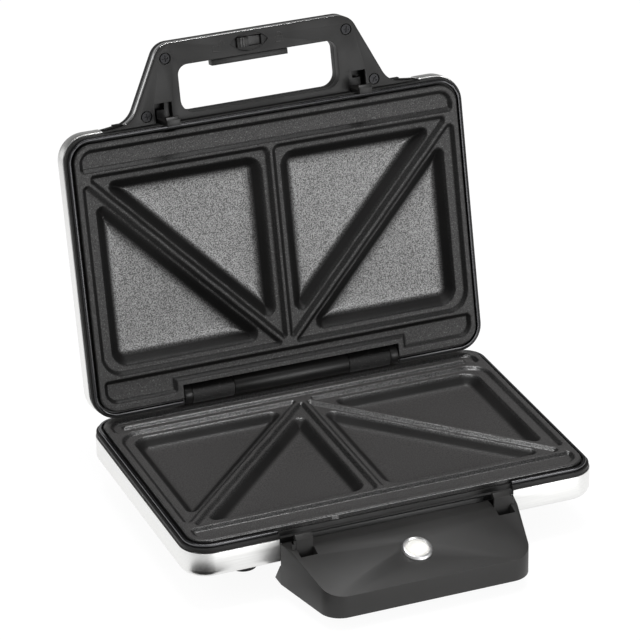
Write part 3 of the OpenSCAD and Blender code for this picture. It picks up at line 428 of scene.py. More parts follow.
def material_for(slot, finish):
    """The material of one of the record's slots, built on its first use."""
    name = "Toaster " + slot
    if name in bpy.data.materials:
        return bpy.data.materials[name]
    black, strip, chrome = finish.moulding, finish.strip, finish.chrome
    # Painted shade on the shell's strip behind the nose, where it sits in shadow.
    shade_behind_nose = (half_width("nose_housing") - 1 * MM, PLATE_LOW[1] - 1 * MM)
    recipes = {
        # One coating in three copies whose tints are painted light: the base plate's lighter, the lid plate's and
        # the hinge arms' darker.
        "plate": (coating_material, finish, 0.55, 0.4),
        "base_coating": (coating_material, finish, 1.35, 0.5, 0.34),
        "hinge_coated": (coating_material, finish, 0.3, 0.2, 0.40, (0.03, 0.4)),
        "shell": (metal_material, finish.steel, 0.34, 0.02, 0.006, shade_behind_nose),
        "ring": (metal_material, strip, 0.24),
        # The lid's ring is a darker copy of the ring's strip colour: painted shade.
        "shaded_lid_ring": (metal_material, shade(strip, 0.35), 0.3),
        "trim": (metal_material, shade(chrome, 0.85), 0.16, 0.05, 0.003),
        "lamp_chrome": (metal_material, chrome, 0.36, 1.0, 0.002),
        "pin_steel": (metal_material, (0.62, 0.62, 0.62), 0.25),
        "screw_steel": (metal_material, (0.02, 0.02, 0.021), 0.42, 1.0),
        "spring": (metal_material, (0.6, 0.6, 0.6), 0.25),
        "heater_tube": (metal_material, (0.25, 0.23, 0.21), 0.5, 1.0, 0.02),
        "tray": (metal_material, (0.78, 0.78, 0.79), 0.3),
        "fuse": (metal_material, (0.72, 0.55, 0.27), 0.28),
        "frame": (plastic_material, shade(black, 0.6), 0.5),
        "handle_plastic": (plastic_material, shade(black, 0.6), 0.5),
        "body_plastic": (plastic_material, shade(black, 1.25)),
        "hinge_black": (plastic_material, shade(black, 0.45), 0.36, 0.015),
        "knob": (plastic_material, shade(black, 0.9), 0.34),
        # Slide and hook are the black moulding darkened to half: painted shade in the handle's slot and window.
        "slide": (plastic_material, shade(black, 0.5), 0.42),
        "hook": (plastic_material, shade(black, 0.5), 0.42),
        "mark": (plastic_material, shade(black, 1.5), 0.38),
        "rubber": (dull_material, (0.02, 0.02, 0.021), 0.7),
        "ceramic": (dull_material, (0.74, 0.70, 0.60), 0.6),
        "lead": (dull_material, (0.66, 0.60, 0.46), 0.85),
        "lens": (lens_material, finish),
    }
    build, *values = recipes[slot]
    return build(name, *values)


# ---- Mesh helpers ----

def add_object(name, data):
    """A new object that sits at the origin, linked to the scene."""
    item = bpy.data.objects.new(name, data)
    bpy.context.scene.collection.objects.link(item)
    return item


def finished_mesh(item):
    """The plain mesh that an object's modifiers or curve settings give."""
    bpy.context.view_layer.update()
    graph = bpy.context.evaluated_depsgraph_get()
    return bpy.data.meshes.new_from_object(item.evaluated_get(graph))


def baked(item):
    """Turns an object with live modifiers into one with a plain mesh."""
    mesh, old = finished_mesh(item), item.data
    item.modifiers.clear()
    item.data = mesh
    bpy.data.meshes.remove(old)
    return item


def give_material(item, material):
    """Gives an object one material in place of any others."""
    item.data.materials.clear()
    item.data.materials.append(material)


def hand_over(item, body, slot, material, *nodes):
    """Gives a piece its material and its body and hides the nodes that it stands for; its slot is not used."""
    give_material(item, material)
    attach(item, body)
    if nodes:
        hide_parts(*nodes)
    return item


def clean_copy(node):
    """A copy of a node's mesh with its seams joined and its flat faces whole."""
    source = frame["nodes"][node]
    mesh = source.data.copy()
    mesh.transform(source.matrix_world)
    shape = bmesh.new()
    shape.from_mesh(mesh)
    bmesh.ops.remove_doubles(shape, verts=shape.verts, dist=0.002 * MM)
    bmesh.ops.dissolve_limit(shape, angle_limit=math.radians(0.6), verts=shape.verts, edges=shape.edges)
    shape.to_mesh(mesh)
    shape.free()
    return mesh


def softened(name, node, radius, segments=2):
    """A node's shape with its sharp edges rounded."""
    item = add_object(name, clean_copy(node))
    bevel = item.modifiers.new("Edges", "BEVEL")
    bevel.width = radius
    bevel.segments = segments
    bevel.limit_method = "ANGLE"
    bevel.angle_limit = ROUNDED_FROM
    baked(item)
    item.data.shade_smooth()
    item.data.set_sharp_from_angle(angle=SHARP_FROM)
    return item


def eased(value, low, high):
    """0 below low, 1 above high, smooth between."""
    t = np.clip((value - low) / (high - low), 0.0, 1.0)
    return t * t * (3 - 2 * t)


# ---- Cooking plates ----

def inside_distance(points, corners):
    """Distance inwards from a convex outline; a corner is (x, y, radius), counter-clockwise."""
    count = len(corners)
    spots = [np.array(corner[:2], dtype=float) for corner in corners]
    sides = [spots[(i + 1) % count] - spots[i] for i in range(count)]
    sides = [side / np.linalg.norm(side) for side in sides]
    inward = [np.array((-side[1], side[0])) for side in sides]
    reach = np.min([(points - spots[i]) @ inward[i] for i in range(count)], axis=0)
    for i in range(count):
        radius = corners[i][2]
        first, second = inward[i - 1], inward[i]
        inner = np.linalg.solve(np.array((first, second)), np.array((radius, radius)))
        off = points - (spots[i] + inner)
        cone = off @ np.linalg.inv(np.column_stack((-first, -second))).T
        inside = (cone[:, 0] > 0) & (cone[:, 1] > 0)
        reach = np.where(inside, radius - np.linalg.norm(off, axis=1), reach)
    return reach


def slope(distance, run, lip=0.08, foot=0.12):
    """A step from 0 to 1 over a run, with a rounded lip and a rounder foot."""
    def rise(t, softness):
        return 0.5 * (t + np.sqrt(t * t + softness * softness))
    t = distance / run
    return np.clip(rise(t, lip) - rise(t - 1.0, foot), 0.0, 1.0)


def band(left, right, near, far, radii):
    """A rectangle's corners, counter-clockwise from near left, with one radius or four."""
    radii = radii if isinstance(radii, tuple) else (radii,) * 4
    corners = ((left, near), (right, near), (right, far), (left, far))
    return [(*corner, radius) for corner, radius in zip(corners, radii)]


def cell_outlines(plates):
    """Outlines of the ledges and pockets right of the middle, in a plate's local frame."""
    out = plates.width / 2 - plates.rim
    rear_rim = plates.rim + 1.3 * MM
    front = plates.depth - plates.rim - plates.trough_front - plates.rib
    back = rear_rim + plates.trough_rear + plates.rib
    hub = back - 1 * MM
    rise = (front - hub) / out
    skew = math.hypot(1, rise)
    half = plates.rib / 2
    ledge = 5 * MM
    wide = half + 3.4 * MM

    def diagonal(x):
        return hub + rise * x

    def front_cell(side, edge, off, radii):
        lift = off * skew
        corners = ((side, diagonal(side) + lift), ((edge - hub - lift) / rise, edge), (side, edge))
        return [(*corner, radius * MM) for corner, radius in zip(corners, radii)]

    def rear_cell(edge, side, off, radii):
        lift = off * skew
        corners = (((edge - hub + lift) / rise, edge), (side, edge), (side, diagonal(side) - lift))
        return [(*corner, radius * MM) for corner, radius in zip(corners, radii)]

    ledges = [front_cell(half, front, half, (2, 3, 5)), rear_cell(back, out, half, (2, 13, 3))]
    pockets = [front_cell(half + ledge, front - 5.3 * MM, wide, (5, 4, 9)),
               rear_cell(back + ledge, out - ledge - 2 * MM, wide, (5, 10, 4))]
    return ledges, pockets, (out, rear_rim, front + plates.rib, back - plates.rib)


def plate_depth(plates, notch, points):
    """Depth of a plate's upper face below its rim at points (x, y) of its local frame."""
    ledges, pockets, (out, rear_rim, trough_v, rear_v) = cell_outlines(plates)
    right = np.column_stack((np.abs(points[:, 0]), points[:, 1]))
    depth = np.zeros(len(points))
    for outline in ledges:
        depth += plates.ledge_depth * slope(inside_distance(right, outline), plates.ledge_run)
    wall = plates.pocket_depth - plates.ledge_depth
    for outline in pockets:
        depth += wall * slope(inside_distance(right, outline), plates.wall_run, lip=0.07, foot=0.34)

    tight, wide, lip = 2.6 * MM, 8 * MM, 2.4 * MM
    front = plates.depth - plates.rim
    troughs = [band(-out, out, trough_v, front, (tight, tight, wide, wide))]
    if notch:
        half, reach = notch
        troughs.append(band(-out, out, reach + 2.6 * MM, rear_v, (lip, lip, tight, tight)))
        troughs.append(band(half + 3 * MM, out, rear_rim, rear_v, (lip, wide, tight, tight)))
    else:
        troughs.append(band(-out, out, rear_rim, rear_v, (wide, wide, tight, tight)))
    steps = [slope(inside_distance(right, outline), 2.2 * MM) for outline in troughs]
    depth += plates.ledge_depth * steps[0]
    depth += plates.ledge_depth * np.max(steps[1:], axis=0)

    if not notch:
        middle, half_ridge, end = (rear_rim + rear_v) / 2, 2.4 * MM, out - 7 * MM
        ridge = band(-end, end, middle - half_ridge, middle + half_ridge, 1.2 * MM)
        depth -= 0.8 * plates.ledge_depth * slope(inside_distance(right, ridge), 1.8 * MM)

    half_w, half_d = plates.width / 2, plates.depth / 2
    outline = band(-half_w, half_w, -half_d, half_d, plates.corner)
    border = inside_distance(points - np.array((0, half_d)), outline)
    bead = 0.9 * MM
    short = np.clip(bead - border, 0, bead)
    depth += bead - np.sqrt(np.maximum(bead * bead - short * short, 0))
    return depth


def spread_lines(low, high, step, fixed=()):
    """Grid lines from low to high, finer at both ends and through some fixed values."""
    ease = np.array((0.0, 0.08, 0.2, 0.38, 0.6, 0.9, 1.3)) * MM
    middle = np.arange(low + ease[-1] + step, high - ease[-1], step)
    lines = np.concatenate((low + ease, middle, high - ease[::-1], np.array(fixed, dtype=float)))
    lines = np.unique(np.round(lines, 7))
    keep = [lines[0]]
    for value in lines[1:]:
        near_fixed = any(abs(value - spot) < 0.25 * step for spot in fixed)
        if value - keep[-1] > 0.05 * MM and (not near_fixed or value in np.round(fixed, 7)):
            keep.append(value)
    return np.array(keep)


def onto_outline(points, half_w, low, high, radius):
    """Moves points that lie outside a rounded rectangle to its nearest edge."""
    moved = points.copy()
    moved[:, 0] = np.clip(moved[:, 0], -half_w, half_w)
    moved[:, 1] = np.clip(moved[:, 1], low, high)
    centre = np.column_stack((np.clip(moved[:, 0], -half_w + radius, half_w - radius),
                              np.clip(moved[:, 1], low + radius, high - radius)))
    off = moved - centre
    far = np.linalg.norm(off, axis=1)
    outside = far > radius
    moved[outside] = centre[outside] + off[outside] / far[outside, None] * radius
    return moved


def plate_mesh(name, plates, notch):
    """Closed mesh of a plate in its local frame, and how many faces its upper side has."""
    half = plates.width / 2
    fixed_x = (-notch[0], notch[0]) if notch else ()
    fixed_y = (notch[1],) if notch else ()
    xs = spread_lines(-half, half, plates.step, fixed_x)
    ys = spread_lines(0, plates.depth, plates.step, fixed_y)
    flat = np.array([(x, y) for y in ys for x in xs])
    flat = onto_outline(flat, half, 0, plates.depth, plates.corner)
    depth = plate_depth(plates, notch, flat)
    shape = bmesh.new()
    verts = [shape.verts.new((x, y, -z)) for (x, y), z in zip(flat, depth)]
    wide = len(xs)
    for row in range(len(ys) - 1):
        for column in range(wide - 1):
            x, y = (xs[column] + xs[column + 1]) / 2, (ys[row] + ys[row + 1]) / 2
            if notch and abs(x) < notch[0] and y < notch[1]:
                continue
            start = row * wide + column
            shape.faces.new((verts[start], verts[start + 1], verts[start + wide + 1], verts[start + wide]))
    bmesh.ops.remove_doubles(shape, verts=shape.verts, dist=0.01 * MM)
    loose = [vert for vert in shape.verts if not vert.link_faces]
    bmesh.ops.delete(shape, geom=loose, context="VERTS")
    top = len(shape.faces)
    edge = [e for e in shape.edges if e.is_boundary]
    belly, side_inset, end_inset = 10.8 * MM, 7 * MM, 15.2 * MM
    for level, inset in ((plates.edge, None), (plates.edge, side_inset), (belly, side_inset)):
        grown = bmesh.ops.extrude_edge_only(shape, edges=edge)["geom"]
        edge = [item for item in grown if isinstance(item, bmesh.types.BMEdge) and item.is_boundary]
        ring = list({vert for item in edge for vert in item.verts})
        spots = np.array([vert.co[:2] for vert in ring])
        if inset:
            spots = onto_outline(spots, half - inset, end_inset, plates.depth - end_inset, 6 * MM)
        for vert, (x, y) in zip(ring, spots):
            vert.co = (x, y, -level)
    bmesh.ops.holes_fill(shape, edges=edge, sides=0)
    mesh = bpy.data.meshes.new(name)
    shape.to_mesh(mesh)
    shape.free()
    return mesh, top


def plate_normals(mesh, top, plates, notch, place):
    """Exact normals on a plate's upper face, flat ones elsewhere, and its coating's values."""
    count = len(mesh.vertices)
    where = np.empty(count * 3)
    mesh.vertices.foreach_get("co", where)
    back = np.array(place.inverted())
    spots = (where.reshape(-1, 3) @ back[:3, :3].T + back[:3, 3])[:, :2]

    def depth_at(offset):
        return plate_depth(plates, notch, spots + offset)

    nudge = 0.02 * MM
    gradient_x, gradient_y = ((depth_at(way) - depth_at(-way)) / (2 * nudge) for way in nudge * np.eye(2))
    # The flat value: low on steep walls, where the coating's colour gets painted shade.
    level = eased(1 / np.sqrt(1 + gradient_x ** 2 + gradient_y ** 2), 0.80, 0.99)
    sunk = depth_at(0) / plates.pocket_depth
    deep = eased(sunk, 0.4, 0.9)
    crest = (1 - level) * (1 - eased(sunk, 0.3, 0.5))
    if notch:
        rim, floor, edge, floor_sand_and_glints = plates.lid_sheen, 1.0, 0.15 * plates.edge_sheen, 1.0
    else:
        rim, floor, edge, floor_sand_and_glints = plates.base_sheen, plates.floor_sheen, plates.edge_sheen, 0.1
    sheen = level * (rim + (floor - rim) * deep) + edge * crest
    # The sand value carries the coating's speckle and painted glints: full on flat parts, on the base mostly its
    # rims.
    sand_and_glints = level * (1 + (floor_sand_and_glints - 1) * deep)
    for label, values in (("flat", level), ("sheen", sheen), ("sand_and_glints", sand_and_glints)):
        mesh.attributes.new(label, "FLOAT", "POINT").data.foreach_set("value", values.astype(np.float32))

    normals = np.column_stack((gradient_x, gradient_y, np.ones(count)))
    normals = normals @ np.array(place.to_3x3().inverted())
    normals /= np.linalg.norm(normals, axis=1)[:, None]
    per_corner = []
    for polygon in mesh.polygons:
        if polygon.index < top:
            per_corner.extend(normals[mesh.loops[k].vertex_index] for k in polygon.loop_indices)
        else:
            per_corner.extend(polygon.normal for _ in polygon.loop_indices)
    mesh.shade_smooth()
    mesh.normals_split_custom_set(per_corner)


def make_plate(name, node, body, material, plates, notch, place):
    """A cooking plate that stands for its node."""
    mesh, top = plate_mesh(name, plates, notch)
    mesh.transform(place)
    if place.determinant() < 0:
        mesh.flip_normals()
    item = add_object(name, mesh)
    plate_normals(mesh, top, plates, notch, place)
    return hand_over(item, body, "plate", material, node)


class TOASTER_OT_plates(bpy.types.Operator):
    """Make the two cooking plates"""
    bl_idname = "toaster.plates"
    bl_label = "Cooking plates"

    def execute(self, context):
        plates, finish = context.scene.toaster_plates, context.scene.toaster_finish
        hinge_notch = (half_width("hinge_bracket") + 0.8 * MM, 8.6 * MM)
        for body, coating, notch, place in (("base", "base_coating", None, base_place()),
                                            ("lid", "plate", hinge_notch, lid_place(plates.gap))):
            node = body + "_plate"
            make_plate(node + "_coated", node, body, material_for(coating, finish), plates, notch, place)
        return {"FINISHED"}


# ---- Mouldings, shells and hinge ----

class TOASTER_OT_mouldings(bpy.types.Operator):
    """Make the handle halves, the nose and the pan with rounded edges"""
    bl_idname = "toaster.mouldings"
    bl_label = "Mouldings"

    def execute(self, context):
        trim, finish = context.scene.toaster_trim, context.scene.toaster_finish
        for node, body, look, radius, segments in (
                ("handle_inner", "lid", "handle_plastic", 0.9 * MM, 3),
                ("handle_outer", "lid", "handle_plastic", trim.soft_edge, 3),
                ("nose_housing", "base", "body_plastic", trim.soft_edge * 0.7, 3),
                ("nose_underside", "base", "body_plastic", trim.fine_edge, 2),
                ("base_pan", "base", "body_plastic", trim.fine_edge, 2)):
            item = softened(node + "_moulded", node, radius, segments)
            hand_over(item, body, "body_plastic", material_for(look, finish), node)
        return {"FINISHED"}


class TOASTER_OT_metalwork(bpy.types.Operator):
    """Make the steel shells, the trim and the hinge with eased edges"""
    bl_idname = "toaster.metalwork"
    bl_label = "Metalwork"

    def execute(self, context):
        trim, finish = context.scene.toaster_trim, context.scene.toaster_finish
        for node, body, slot, radius in (
                ("base_shell", "base", "shell", 0.3 * MM), ("lid_shell", "lid", "shell", 0.3 * MM),
                ("base_trim_ring", "base", "ring", 0.4 * MM), ("lid_trim_ring", "lid", "ring", 0.4 * MM),
                ("base_frame", "base", "frame", 0.3 * MM), ("lid_frame", "lid", "frame", 0.3 * MM),
                ("handle_trim", "lid", "trim", 0.3 * MM),
                ("hinge_bracket", "base", "hinge_black", trim.fine_edge),
                ("lid_hinge_arms", "lid", "hinge_coated", trim.fine_edge),
                ("rubber_feet", "base", "rubber", 0.8 * MM), ("hook_frame", "hooks", "hook", trim.fine_edge),
                ("lock_knob", "lock", "knob", 0.25 * MM)):
            item = softened(node + "_eased", node, radius)
            # The lid's ring gets the darker copy of the ring material, as painted shade.
            look = "shaded_lid_ring" if node == "lid_trim_ring" else slot
            hand_over(item, body, slot, material_for(look, finish), node)
        return {"FINISHED"}


class TOASTER_OT_carried(bpy.types.Operator):
    """Give the inner parts and small fittings their finishes"""
    bl_idname = "toaster.carried"
    bl_label = "Inner parts"

    def execute(self, context):
        finish = context.scene.toaster_finish
        slots = {part["node"]: part["material_slot"] for part in frame["record"]["subparts"]}
        for node, item in frame["nodes"].items():
            give_material(item, material_for(slots[node], finish))
        return {"FINISHED"}


# ---- Screws and marks on the handle ----

def raised(tree, geometry, height):
    """Geometry moved along Z by a height."""
    node, offset = tree.nodes.new("GeometryNodeTransform"), tree.nodes.new("ShaderNodeCombineXYZ")
    tree.links.new(height, offset.inputs["Z"])
    tree.links.new(offset.outputs[0], node.inputs["Translation"])
    tree.links.new(geometry, node.inputs["Geometry"])
    return node.outputs[0]


def cylinder(tree, facets, radius, height):
    """A closed cylinder about the origin."""
    node = tree.nodes.new("GeometryNodeMeshCylinder")
    node.inputs["Vertices"].default_value = facets
    tree.links.new(radius, node.inputs["Radius"])
    tree.links.new(height, node.inputs["Depth"])
    return node.outputs[0]


def screw_tree(name, trim, material):
    """Geometry Nodes that put a cross-recessed screw on every point."""
    tree = bpy.data.node_groups.new(name, "GeometryNodeTree")
    tree.interface.new_socket(name="Points", in_out="INPUT", socket_type="NodeSocketGeometry")
    for label in ("Head radius", "Head height", "Recess width", "Shank radius", "Shank length"):
        tree.interface.new_socket(name=label, in_out="INPUT", socket_type="NodeSocketFloat")
    tree.interface.new_socket(name="Screws", in_out="OUTPUT", socket_type="NodeSocketGeometry")
    nodes, links = tree.nodes, tree.links
    start, end = nodes.new("NodeGroupInput"), nodes.new("NodeGroupOutput")
    head, height = start.outputs["Head radius"], start.outputs["Head height"]
    cut = nodes.new("GeometryNodeMeshBoolean")
    cut.operation = "DIFFERENCE"
    blank = cylinder(tree, trim.facets, head, height)
    links.new(raised(tree, blank, maths(tree, "MULTIPLY", height, 0.5)), cut.inputs[0])
    span = maths(tree, "MULTIPLY", head, 1.3)
    for along, across in (("X", "Y"), ("Y", "X")):
        arm, size = nodes.new("GeometryNodeMeshCube"), nodes.new("ShaderNodeCombineXYZ")
        links.new(span, size.inputs[along])
        links.new(start.outputs["Recess width"], size.inputs[across])
        links.new(height, size.inputs["Z"])
        links.new(size.outputs[0], arm.inputs["Size"])
        links.new(raised(tree, arm.outputs[0], height), cut.inputs[1])
    reach = start.outputs["Shank length"]
    shank = cylinder(tree, trim.facets, start.outputs["Shank radius"], reach)
    whole = nodes.new("GeometryNodeJoinGeometry")
    links.new(cut.outputs[0], whole.inputs[0])
    links.new(raised(tree, shank, maths(tree, "MULTIPLY", reach, -0.5)), whole.inputs[0])
    place = nodes.new("GeometryNodeInstanceOnPoints")
    links.new(start.outputs["Points"], place.inputs["Points"])
    links.new(whole.outputs[0], place.inputs["Instance"])
    turn = nodes.new("FunctionNodeRandomValue")
    turn.data_type = "FLOAT_VECTOR"
    turn.inputs["Seed"].default_value = 5
    turn.inputs["Max"].default_value = (0.0, 0.0, 1.5)
    links.new(turn.outputs[0], place.inputs["Rotation"])
    real, paint = nodes.new("GeometryNodeRealizeInstances"), nodes.new("GeometryNodeSetMaterial")
    paint.inputs["Material"].default_value = material
    links.new(place.outputs[0], real.inputs[0])
    links.new(real.outputs[0], paint.inputs["Geometry"])
    links.new(paint.outputs[0], end.inputs[0])
    return tree


class TOASTER_OT_screws(bpy.types.Operator):
    """Make the four recessed screws of the handle"""
    bl_idname = "toaster.screws"
    bl_label = "Handle screws"

    def execute(self, context):
        trim, finish = context.scene.toaster_trim, context.scene.toaster_finish
        material = material_for("screw_steel", finish)
        upper, lower, seat = (56.5 * MM, 201 * MM), (71.3 * MM, 169 * MM), -7.8 * MM
        spots = [(side * x, y, seat) for side in (-1, 1) for x, y in (upper, lower)]
        points = bpy.data.meshes.new("handle_screws_recessed")
        points.from_pydata(spots, [], [])
        item = add_object(points.name, points)
        tree = screw_tree("Cross-recessed screws", trim, material)
        modifier = item.modifiers.new("Screws", "NODES")
        modifier.node_group = tree
        values = {"Head radius": trim.head / 2, "Head height": trim.head_height, "Recess width": trim.recess,
                  "Shank radius": trim.shank / 2, "Shank length": trim.shank_length}
        for socket in tree.interface.items_tree:
            if socket.in_out == "INPUT" and socket.name in values:
                modifier[socket.identifier] = values[socket.name]
        baked(item)
        item.data.transform(lid_place(context.scene.toaster_plates.gap))
        hand_over(item, "lid", "screw_steel", material, "handle_screws")
        return {"FINISHED"}


def padlock_outline(centre, width, open_shackle):
    """Centre lines of a padlock mark: its body and its shackle."""
    x, y = centre
    half = width / 2
    low = y - half * 1.5
    body = [(x - half, low), (x + half, low), (x + half, y), (x - half, y), (x - half, low)]
    shift = width * 0.75 if open_shackle else 0.0
    rise = half * 0.55
    radius = half * 0.62
    middle = x + shift
    turns = [math.pi * k / 10 for k in range(11)]
    arc = [(middle - radius * math.cos(turn), y + rise + radius * math.sin(turn)) for turn in turns]
    foot = y + (rise * 0.4 if open_shackle else 0.0)
    return [body, [(middle - radius, foot)] + arc + [(middle + radius, y)]]


class TOASTER_OT_marks(bpy.types.Operator):
    """Make the raised padlock marks beside the lock knob"""
    bl_idname = "toaster.marks"
    bl_label = "Padlock marks"

    def execute(self, context):
        trim, finish = context.scene.toaster_trim, context.scene.toaster_finish
        curve = bpy.data.curves.new("padlock_marks", "CURVE")
        curve.dimensions = "3D"
        stroke, surface, width, row = 0.32 * MM, -6.5 * MM, 4.4 * MM, 203.6 * MM
        curve.bevel_depth = stroke
        curve.bevel_resolution = 2
        for column, open_shackle in ((-24.6 * MM, True), (14.4 * MM, False)):
            for line in padlock_outline((column, row), width, open_shackle):
                spline = curve.splines.new("POLY")
                spline.points.add(len(line) - 1)
                for point, (x, y) in zip(spline.points, line):
                    point.co = (x, y, surface - stroke + trim.emboss, 1.0)
        item = baked_curve("padlock_marks", curve)
        item.data.transform(lid_place(context.scene.toaster_plates.gap))
        hand_over(item, "lid", "body_plastic", material_for("mark", finish))
        return {"FINISHED"}


def baked_curve(name, curve):
    """A curve turned into a plain mesh object."""
    item = add_object(name + "_curve", curve)
    mesh = finished_mesh(item)
    bpy.data.objects.remove(item)
    mesh.name = name
    return add_object(name, mesh)


# ---- Stage ----

SEEING_RAYS = ("Is Camera Ray", "Is Glossy Ray", "Is Transmission Ray")


def light_paths(tree, kinds):
    """1 for any of the named kinds of ray."""
    path = tree.nodes.new("ShaderNodeLightPath")
    total = path.outputs[kinds[0]]
    for kind in kinds[1:]:
        total = maths(tree, "MAXIMUM", total, path.outputs[kind])
    return total


def show_white(tree, plain, white, amount, end):
    """Puts white in place of a plain shader for the rays that see the background."""
    mix = tree.nodes.new("ShaderNodeMixShader")
    tree.links.new(maths(tree, "MULTIPLY", light_paths(tree, SEEING_RAYS), amount), mix.inputs[0])
    tree.links.new(plain.outputs[0], mix.inputs[1])
    tree.links.new(white.outputs[0], mix.inputs[2])
    tree.links.new(mix.outputs[0], tree.nodes[end].inputs[0])


def floor_material():
    """White floor that keeps a soft shadow; far off it is darker in reflections."""
    material, tree, shader, place = start_material("Stage floor")
    shader.inputs["Base Color"].default_value = (0.9, 0.9, 0.9, 1.0)
    shader.inputs["Roughness"].default_value = 0.9
    shader.inputs["Specular IOR Level"].default_value = 0.0
    away = tree.nodes.new("ShaderNodeVectorMath")
    away.operation = "LENGTH"
    tree.links.new(place, away.inputs[0])
    near, far, near_loss, far_loss = 0.45, 1.3, 0.04, 0.95
    dim = ramp(tree, away.outputs["Value"], near, far, near_loss, far_loss)
    loss = maths(tree, "MULTIPLY", light_paths(tree, ("Is Glossy Ray",)), dim)
    # A small share of the lit floor keeps the shadow; with the glow it adds up to white.
    glow, glow_share = 1.06, 0.88
    white = tree.nodes.new("ShaderNodeEmission")
    tree.links.new(maths(tree, "SUBTRACT", glow, loss), white.inputs["Strength"])
    show_white(tree, shader, white, glow_share, "Material Output")
    return material


def stage_sheet(name, points, material):
    """A flat piece of the stage."""
    mesh = bpy.data.meshes.new(name)
    mesh.from_pydata(points, [], [list(range(len(points)))])
    mesh.materials.append(material)
    return add_object(name, mesh)


def reflection_card(name, points, strength):
    """A card that only reflections show: dark at a strength of 0 and white at 1."""
    material, tree, _, _ = start_material(name)
    glow = tree.nodes.new("ShaderNodeEmission")
    glow.inputs["Strength"].default_value = strength
    tree.links.new(glow.outputs[0], tree.nodes["Material Output"].inputs[0])
    card = stage_sheet(name, points, material)
    card.visible_camera = card.visible_diffuse = card.visible_shadow = card.visible_transmission = False
    return card


def white_world(strength, ceiling):
    """World that lights softly, shows white behind the object and has a dim ceiling in reflections."""
    world = bpy.data.worlds.new("Stage world")
    world.use_nodes = True
    tree = world.node_tree
    soft = tree.nodes["Background"]
    soft.inputs["Color"].default_value = (1.0, 1.0, 1.0, 1.0)
    soft.inputs["Strength"].default_value = strength
    height = tree.nodes.new("ShaderNodeSeparateXYZ")
    tree.links.new(tree.nodes.new("ShaderNodeTexCoord").outputs["Generated"], height.inputs[0])
    dim = ramp(tree, height.outputs[2], 0.0, 0.35, 0.6, 1.0 - ceiling)
    white = tree.nodes.new("ShaderNodeBackground")
    white.inputs["Color"].default_value = (1.0, 1.0, 1.0, 1.0)
    loss = maths(tree, "MULTIPLY", light_paths(tree, ("Is Glossy Ray",)), dim)
    tree.links.new(maths(tree, "SUBTRACT", 1.0, loss), white.inputs["Strength"])
    show_white(tree, soft, white, 1.0, "World Output")
    bpy.context.scene.world = world


def add_light(name, place, target, size, power):
    """A rectangular area light that faces a target."""
    light = bpy.data.lights.new(name, "AREA")
    light.shape = "RECTANGLE"
    light.size, light.size_y = size
    light.energy = power
    item = add_object(name, light)
    item.location = place
    item.rotation_euler = (Vector(target) - Vector(place)).to_track_quat("-Z", "Y").to_euler()


def add_camera(stage):
    """The camera, from its place and its three turns."""
    camera = bpy.data.cameras.new("Stage camera")
    camera.lens = stage.focal
    camera.sensor_width = 36.0
    camera.clip_end = 50.0
    item = add_object("Stage camera", camera)
    ahead = Vector((math.sin(stage.yaw) * math.cos(stage.pitch), math.cos(stage.yaw) * math.cos(stage.pitch),
                    -math.sin(stage.pitch)))
    right = Vector((math.cos(stage.yaw), -math.sin(stage.yaw), 0.0))
    up = right.cross(ahead)
    turned_right = math.cos(stage.roll) * right + math.sin(stage.roll) * up
    turned_up = -math.sin(stage.roll) * right + math.cos(stage.roll) * up
    turn = Matrix((turned_right, turned_up, -ahead)).transposed().to_4x4()
    item.matrix_world = Matrix.Translation(stage.place) @ turn
    bpy.context.scene.camera = item


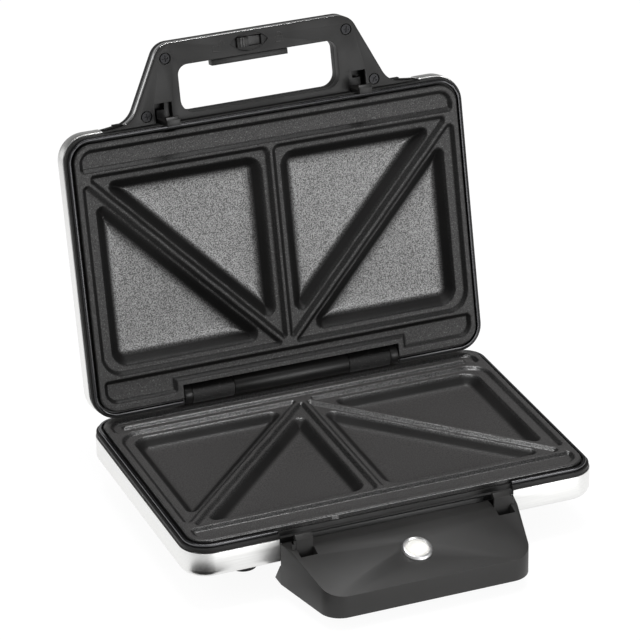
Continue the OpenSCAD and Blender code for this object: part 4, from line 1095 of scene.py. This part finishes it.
class TOASTER_OT_stage(bpy.types.Operator):
    """Make the floor, the lights and the camera"""
    bl_idname = "toaster.stage"
    bl_label = "Stage"

    def execute(self, context):
        stage = context.scene.toaster_stage
        reach = 6.0
        square = [(x * reach, y * reach, 0.0) for x, y in ((-1, -1), (1, -1), (1, 1), (-1, 1))]
        floor = stage_sheet("stage_floor", square, floor_material())
        card_x, card_y, card_radius, card_height, sides = -0.142, -0.125, 0.05, 0.3 * MM, 24
        turns = [2 * math.pi * k / sides for k in range(sides)]
        disc = [(card_x + card_radius * math.cos(turn), card_y + card_radius * math.sin(turn), card_height)
                for turn in turns]
        left, right, top = (-1.05, 0.70), (-0.45, 1.06), 0.32
        panel = [(*left, 0.0), (*right, 0.0), (*right, top), (*left, top)]
        reflection_card("stage_dark_card", disc, 0.0)
        reflection_card("stage_white_card", panel, 1.0)
        white_world(stage.sky, stage.ceiling)
        centre = (0.0, 0.0, 0.1)
        add_light("Key light", (0.56, -1.36, 0.30), centre, (0.8, 0.55), stage.key)
        add_light("Top light", (0.0, 0.0, 1.25), centre, (0.8, 0.35), stage.top)
        add_light("Fill light", (-1.3, -0.5, 1.3), centre, (0.8, 0.8), stage.fill)
        add_camera(stage)
        context.scene.view_settings.view_transform = "Standard"
        return {"FINISHED"}


# ---- Panel and registration ----

STEPS = ("toaster.stage", "toaster.carried", "toaster.plates", "toaster.mouldings", "toaster.metalwork",
         "toaster.screws", "toaster.marks")


class TOASTER_PT_panel(bpy.types.Panel):
    """Sizes, colours and steps of the toaster"""
    bl_label = "Sandwich toaster"
    bl_idname = "TOASTER_PT_panel"
    bl_space_type = "VIEW_3D"
    bl_region_type = "UI"
    bl_category = "Toaster"

    def draw(self, context):
        scene = context.scene
        for group in (scene.toaster_plates, scene.toaster_trim, scene.toaster_finish, scene.toaster_stage):
            box = self.layout.box()
            for name in group.__annotations__:
                box.prop(group, name)
        for step in STEPS:
            self.layout.operator(step)


GROUPS = {"toaster_plates": ToasterPlates, "toaster_trim": ToasterTrim, "toaster_finish": ToasterFinish,
          "toaster_stage": ToasterStage}
CLASSES = (*GROUPS.values(), TOASTER_OT_stage, TOASTER_OT_carried, TOASTER_OT_plates, TOASTER_OT_mouldings,
           TOASTER_OT_metalwork, TOASTER_OT_screws, TOASTER_OT_marks, TOASTER_PT_panel)


def register():
    """Registers the classes and hangs the property groups on the scene."""
    for item in CLASSES:
        bpy.utils.register_class(item)
    for name, group in GROUPS.items():
        setattr(bpy.types.Scene, name, PointerProperty(type=group))


def unregister():
    """Takes the property groups and classes away again."""
    for name in GROUPS:
        delattr(bpy.types.Scene, name)
    for item in reversed(CLASSES):
        bpy.utils.unregister_class(item)


def call(step):
    """Runs one operator by its name."""
    area, name = step.split(".")
    getattr(getattr(bpy.ops, area), name)()


def main():
    """Makes every piece."""
    register()
    for step in STEPS:
        call(step)


if __name__ == "__main__":
    main()
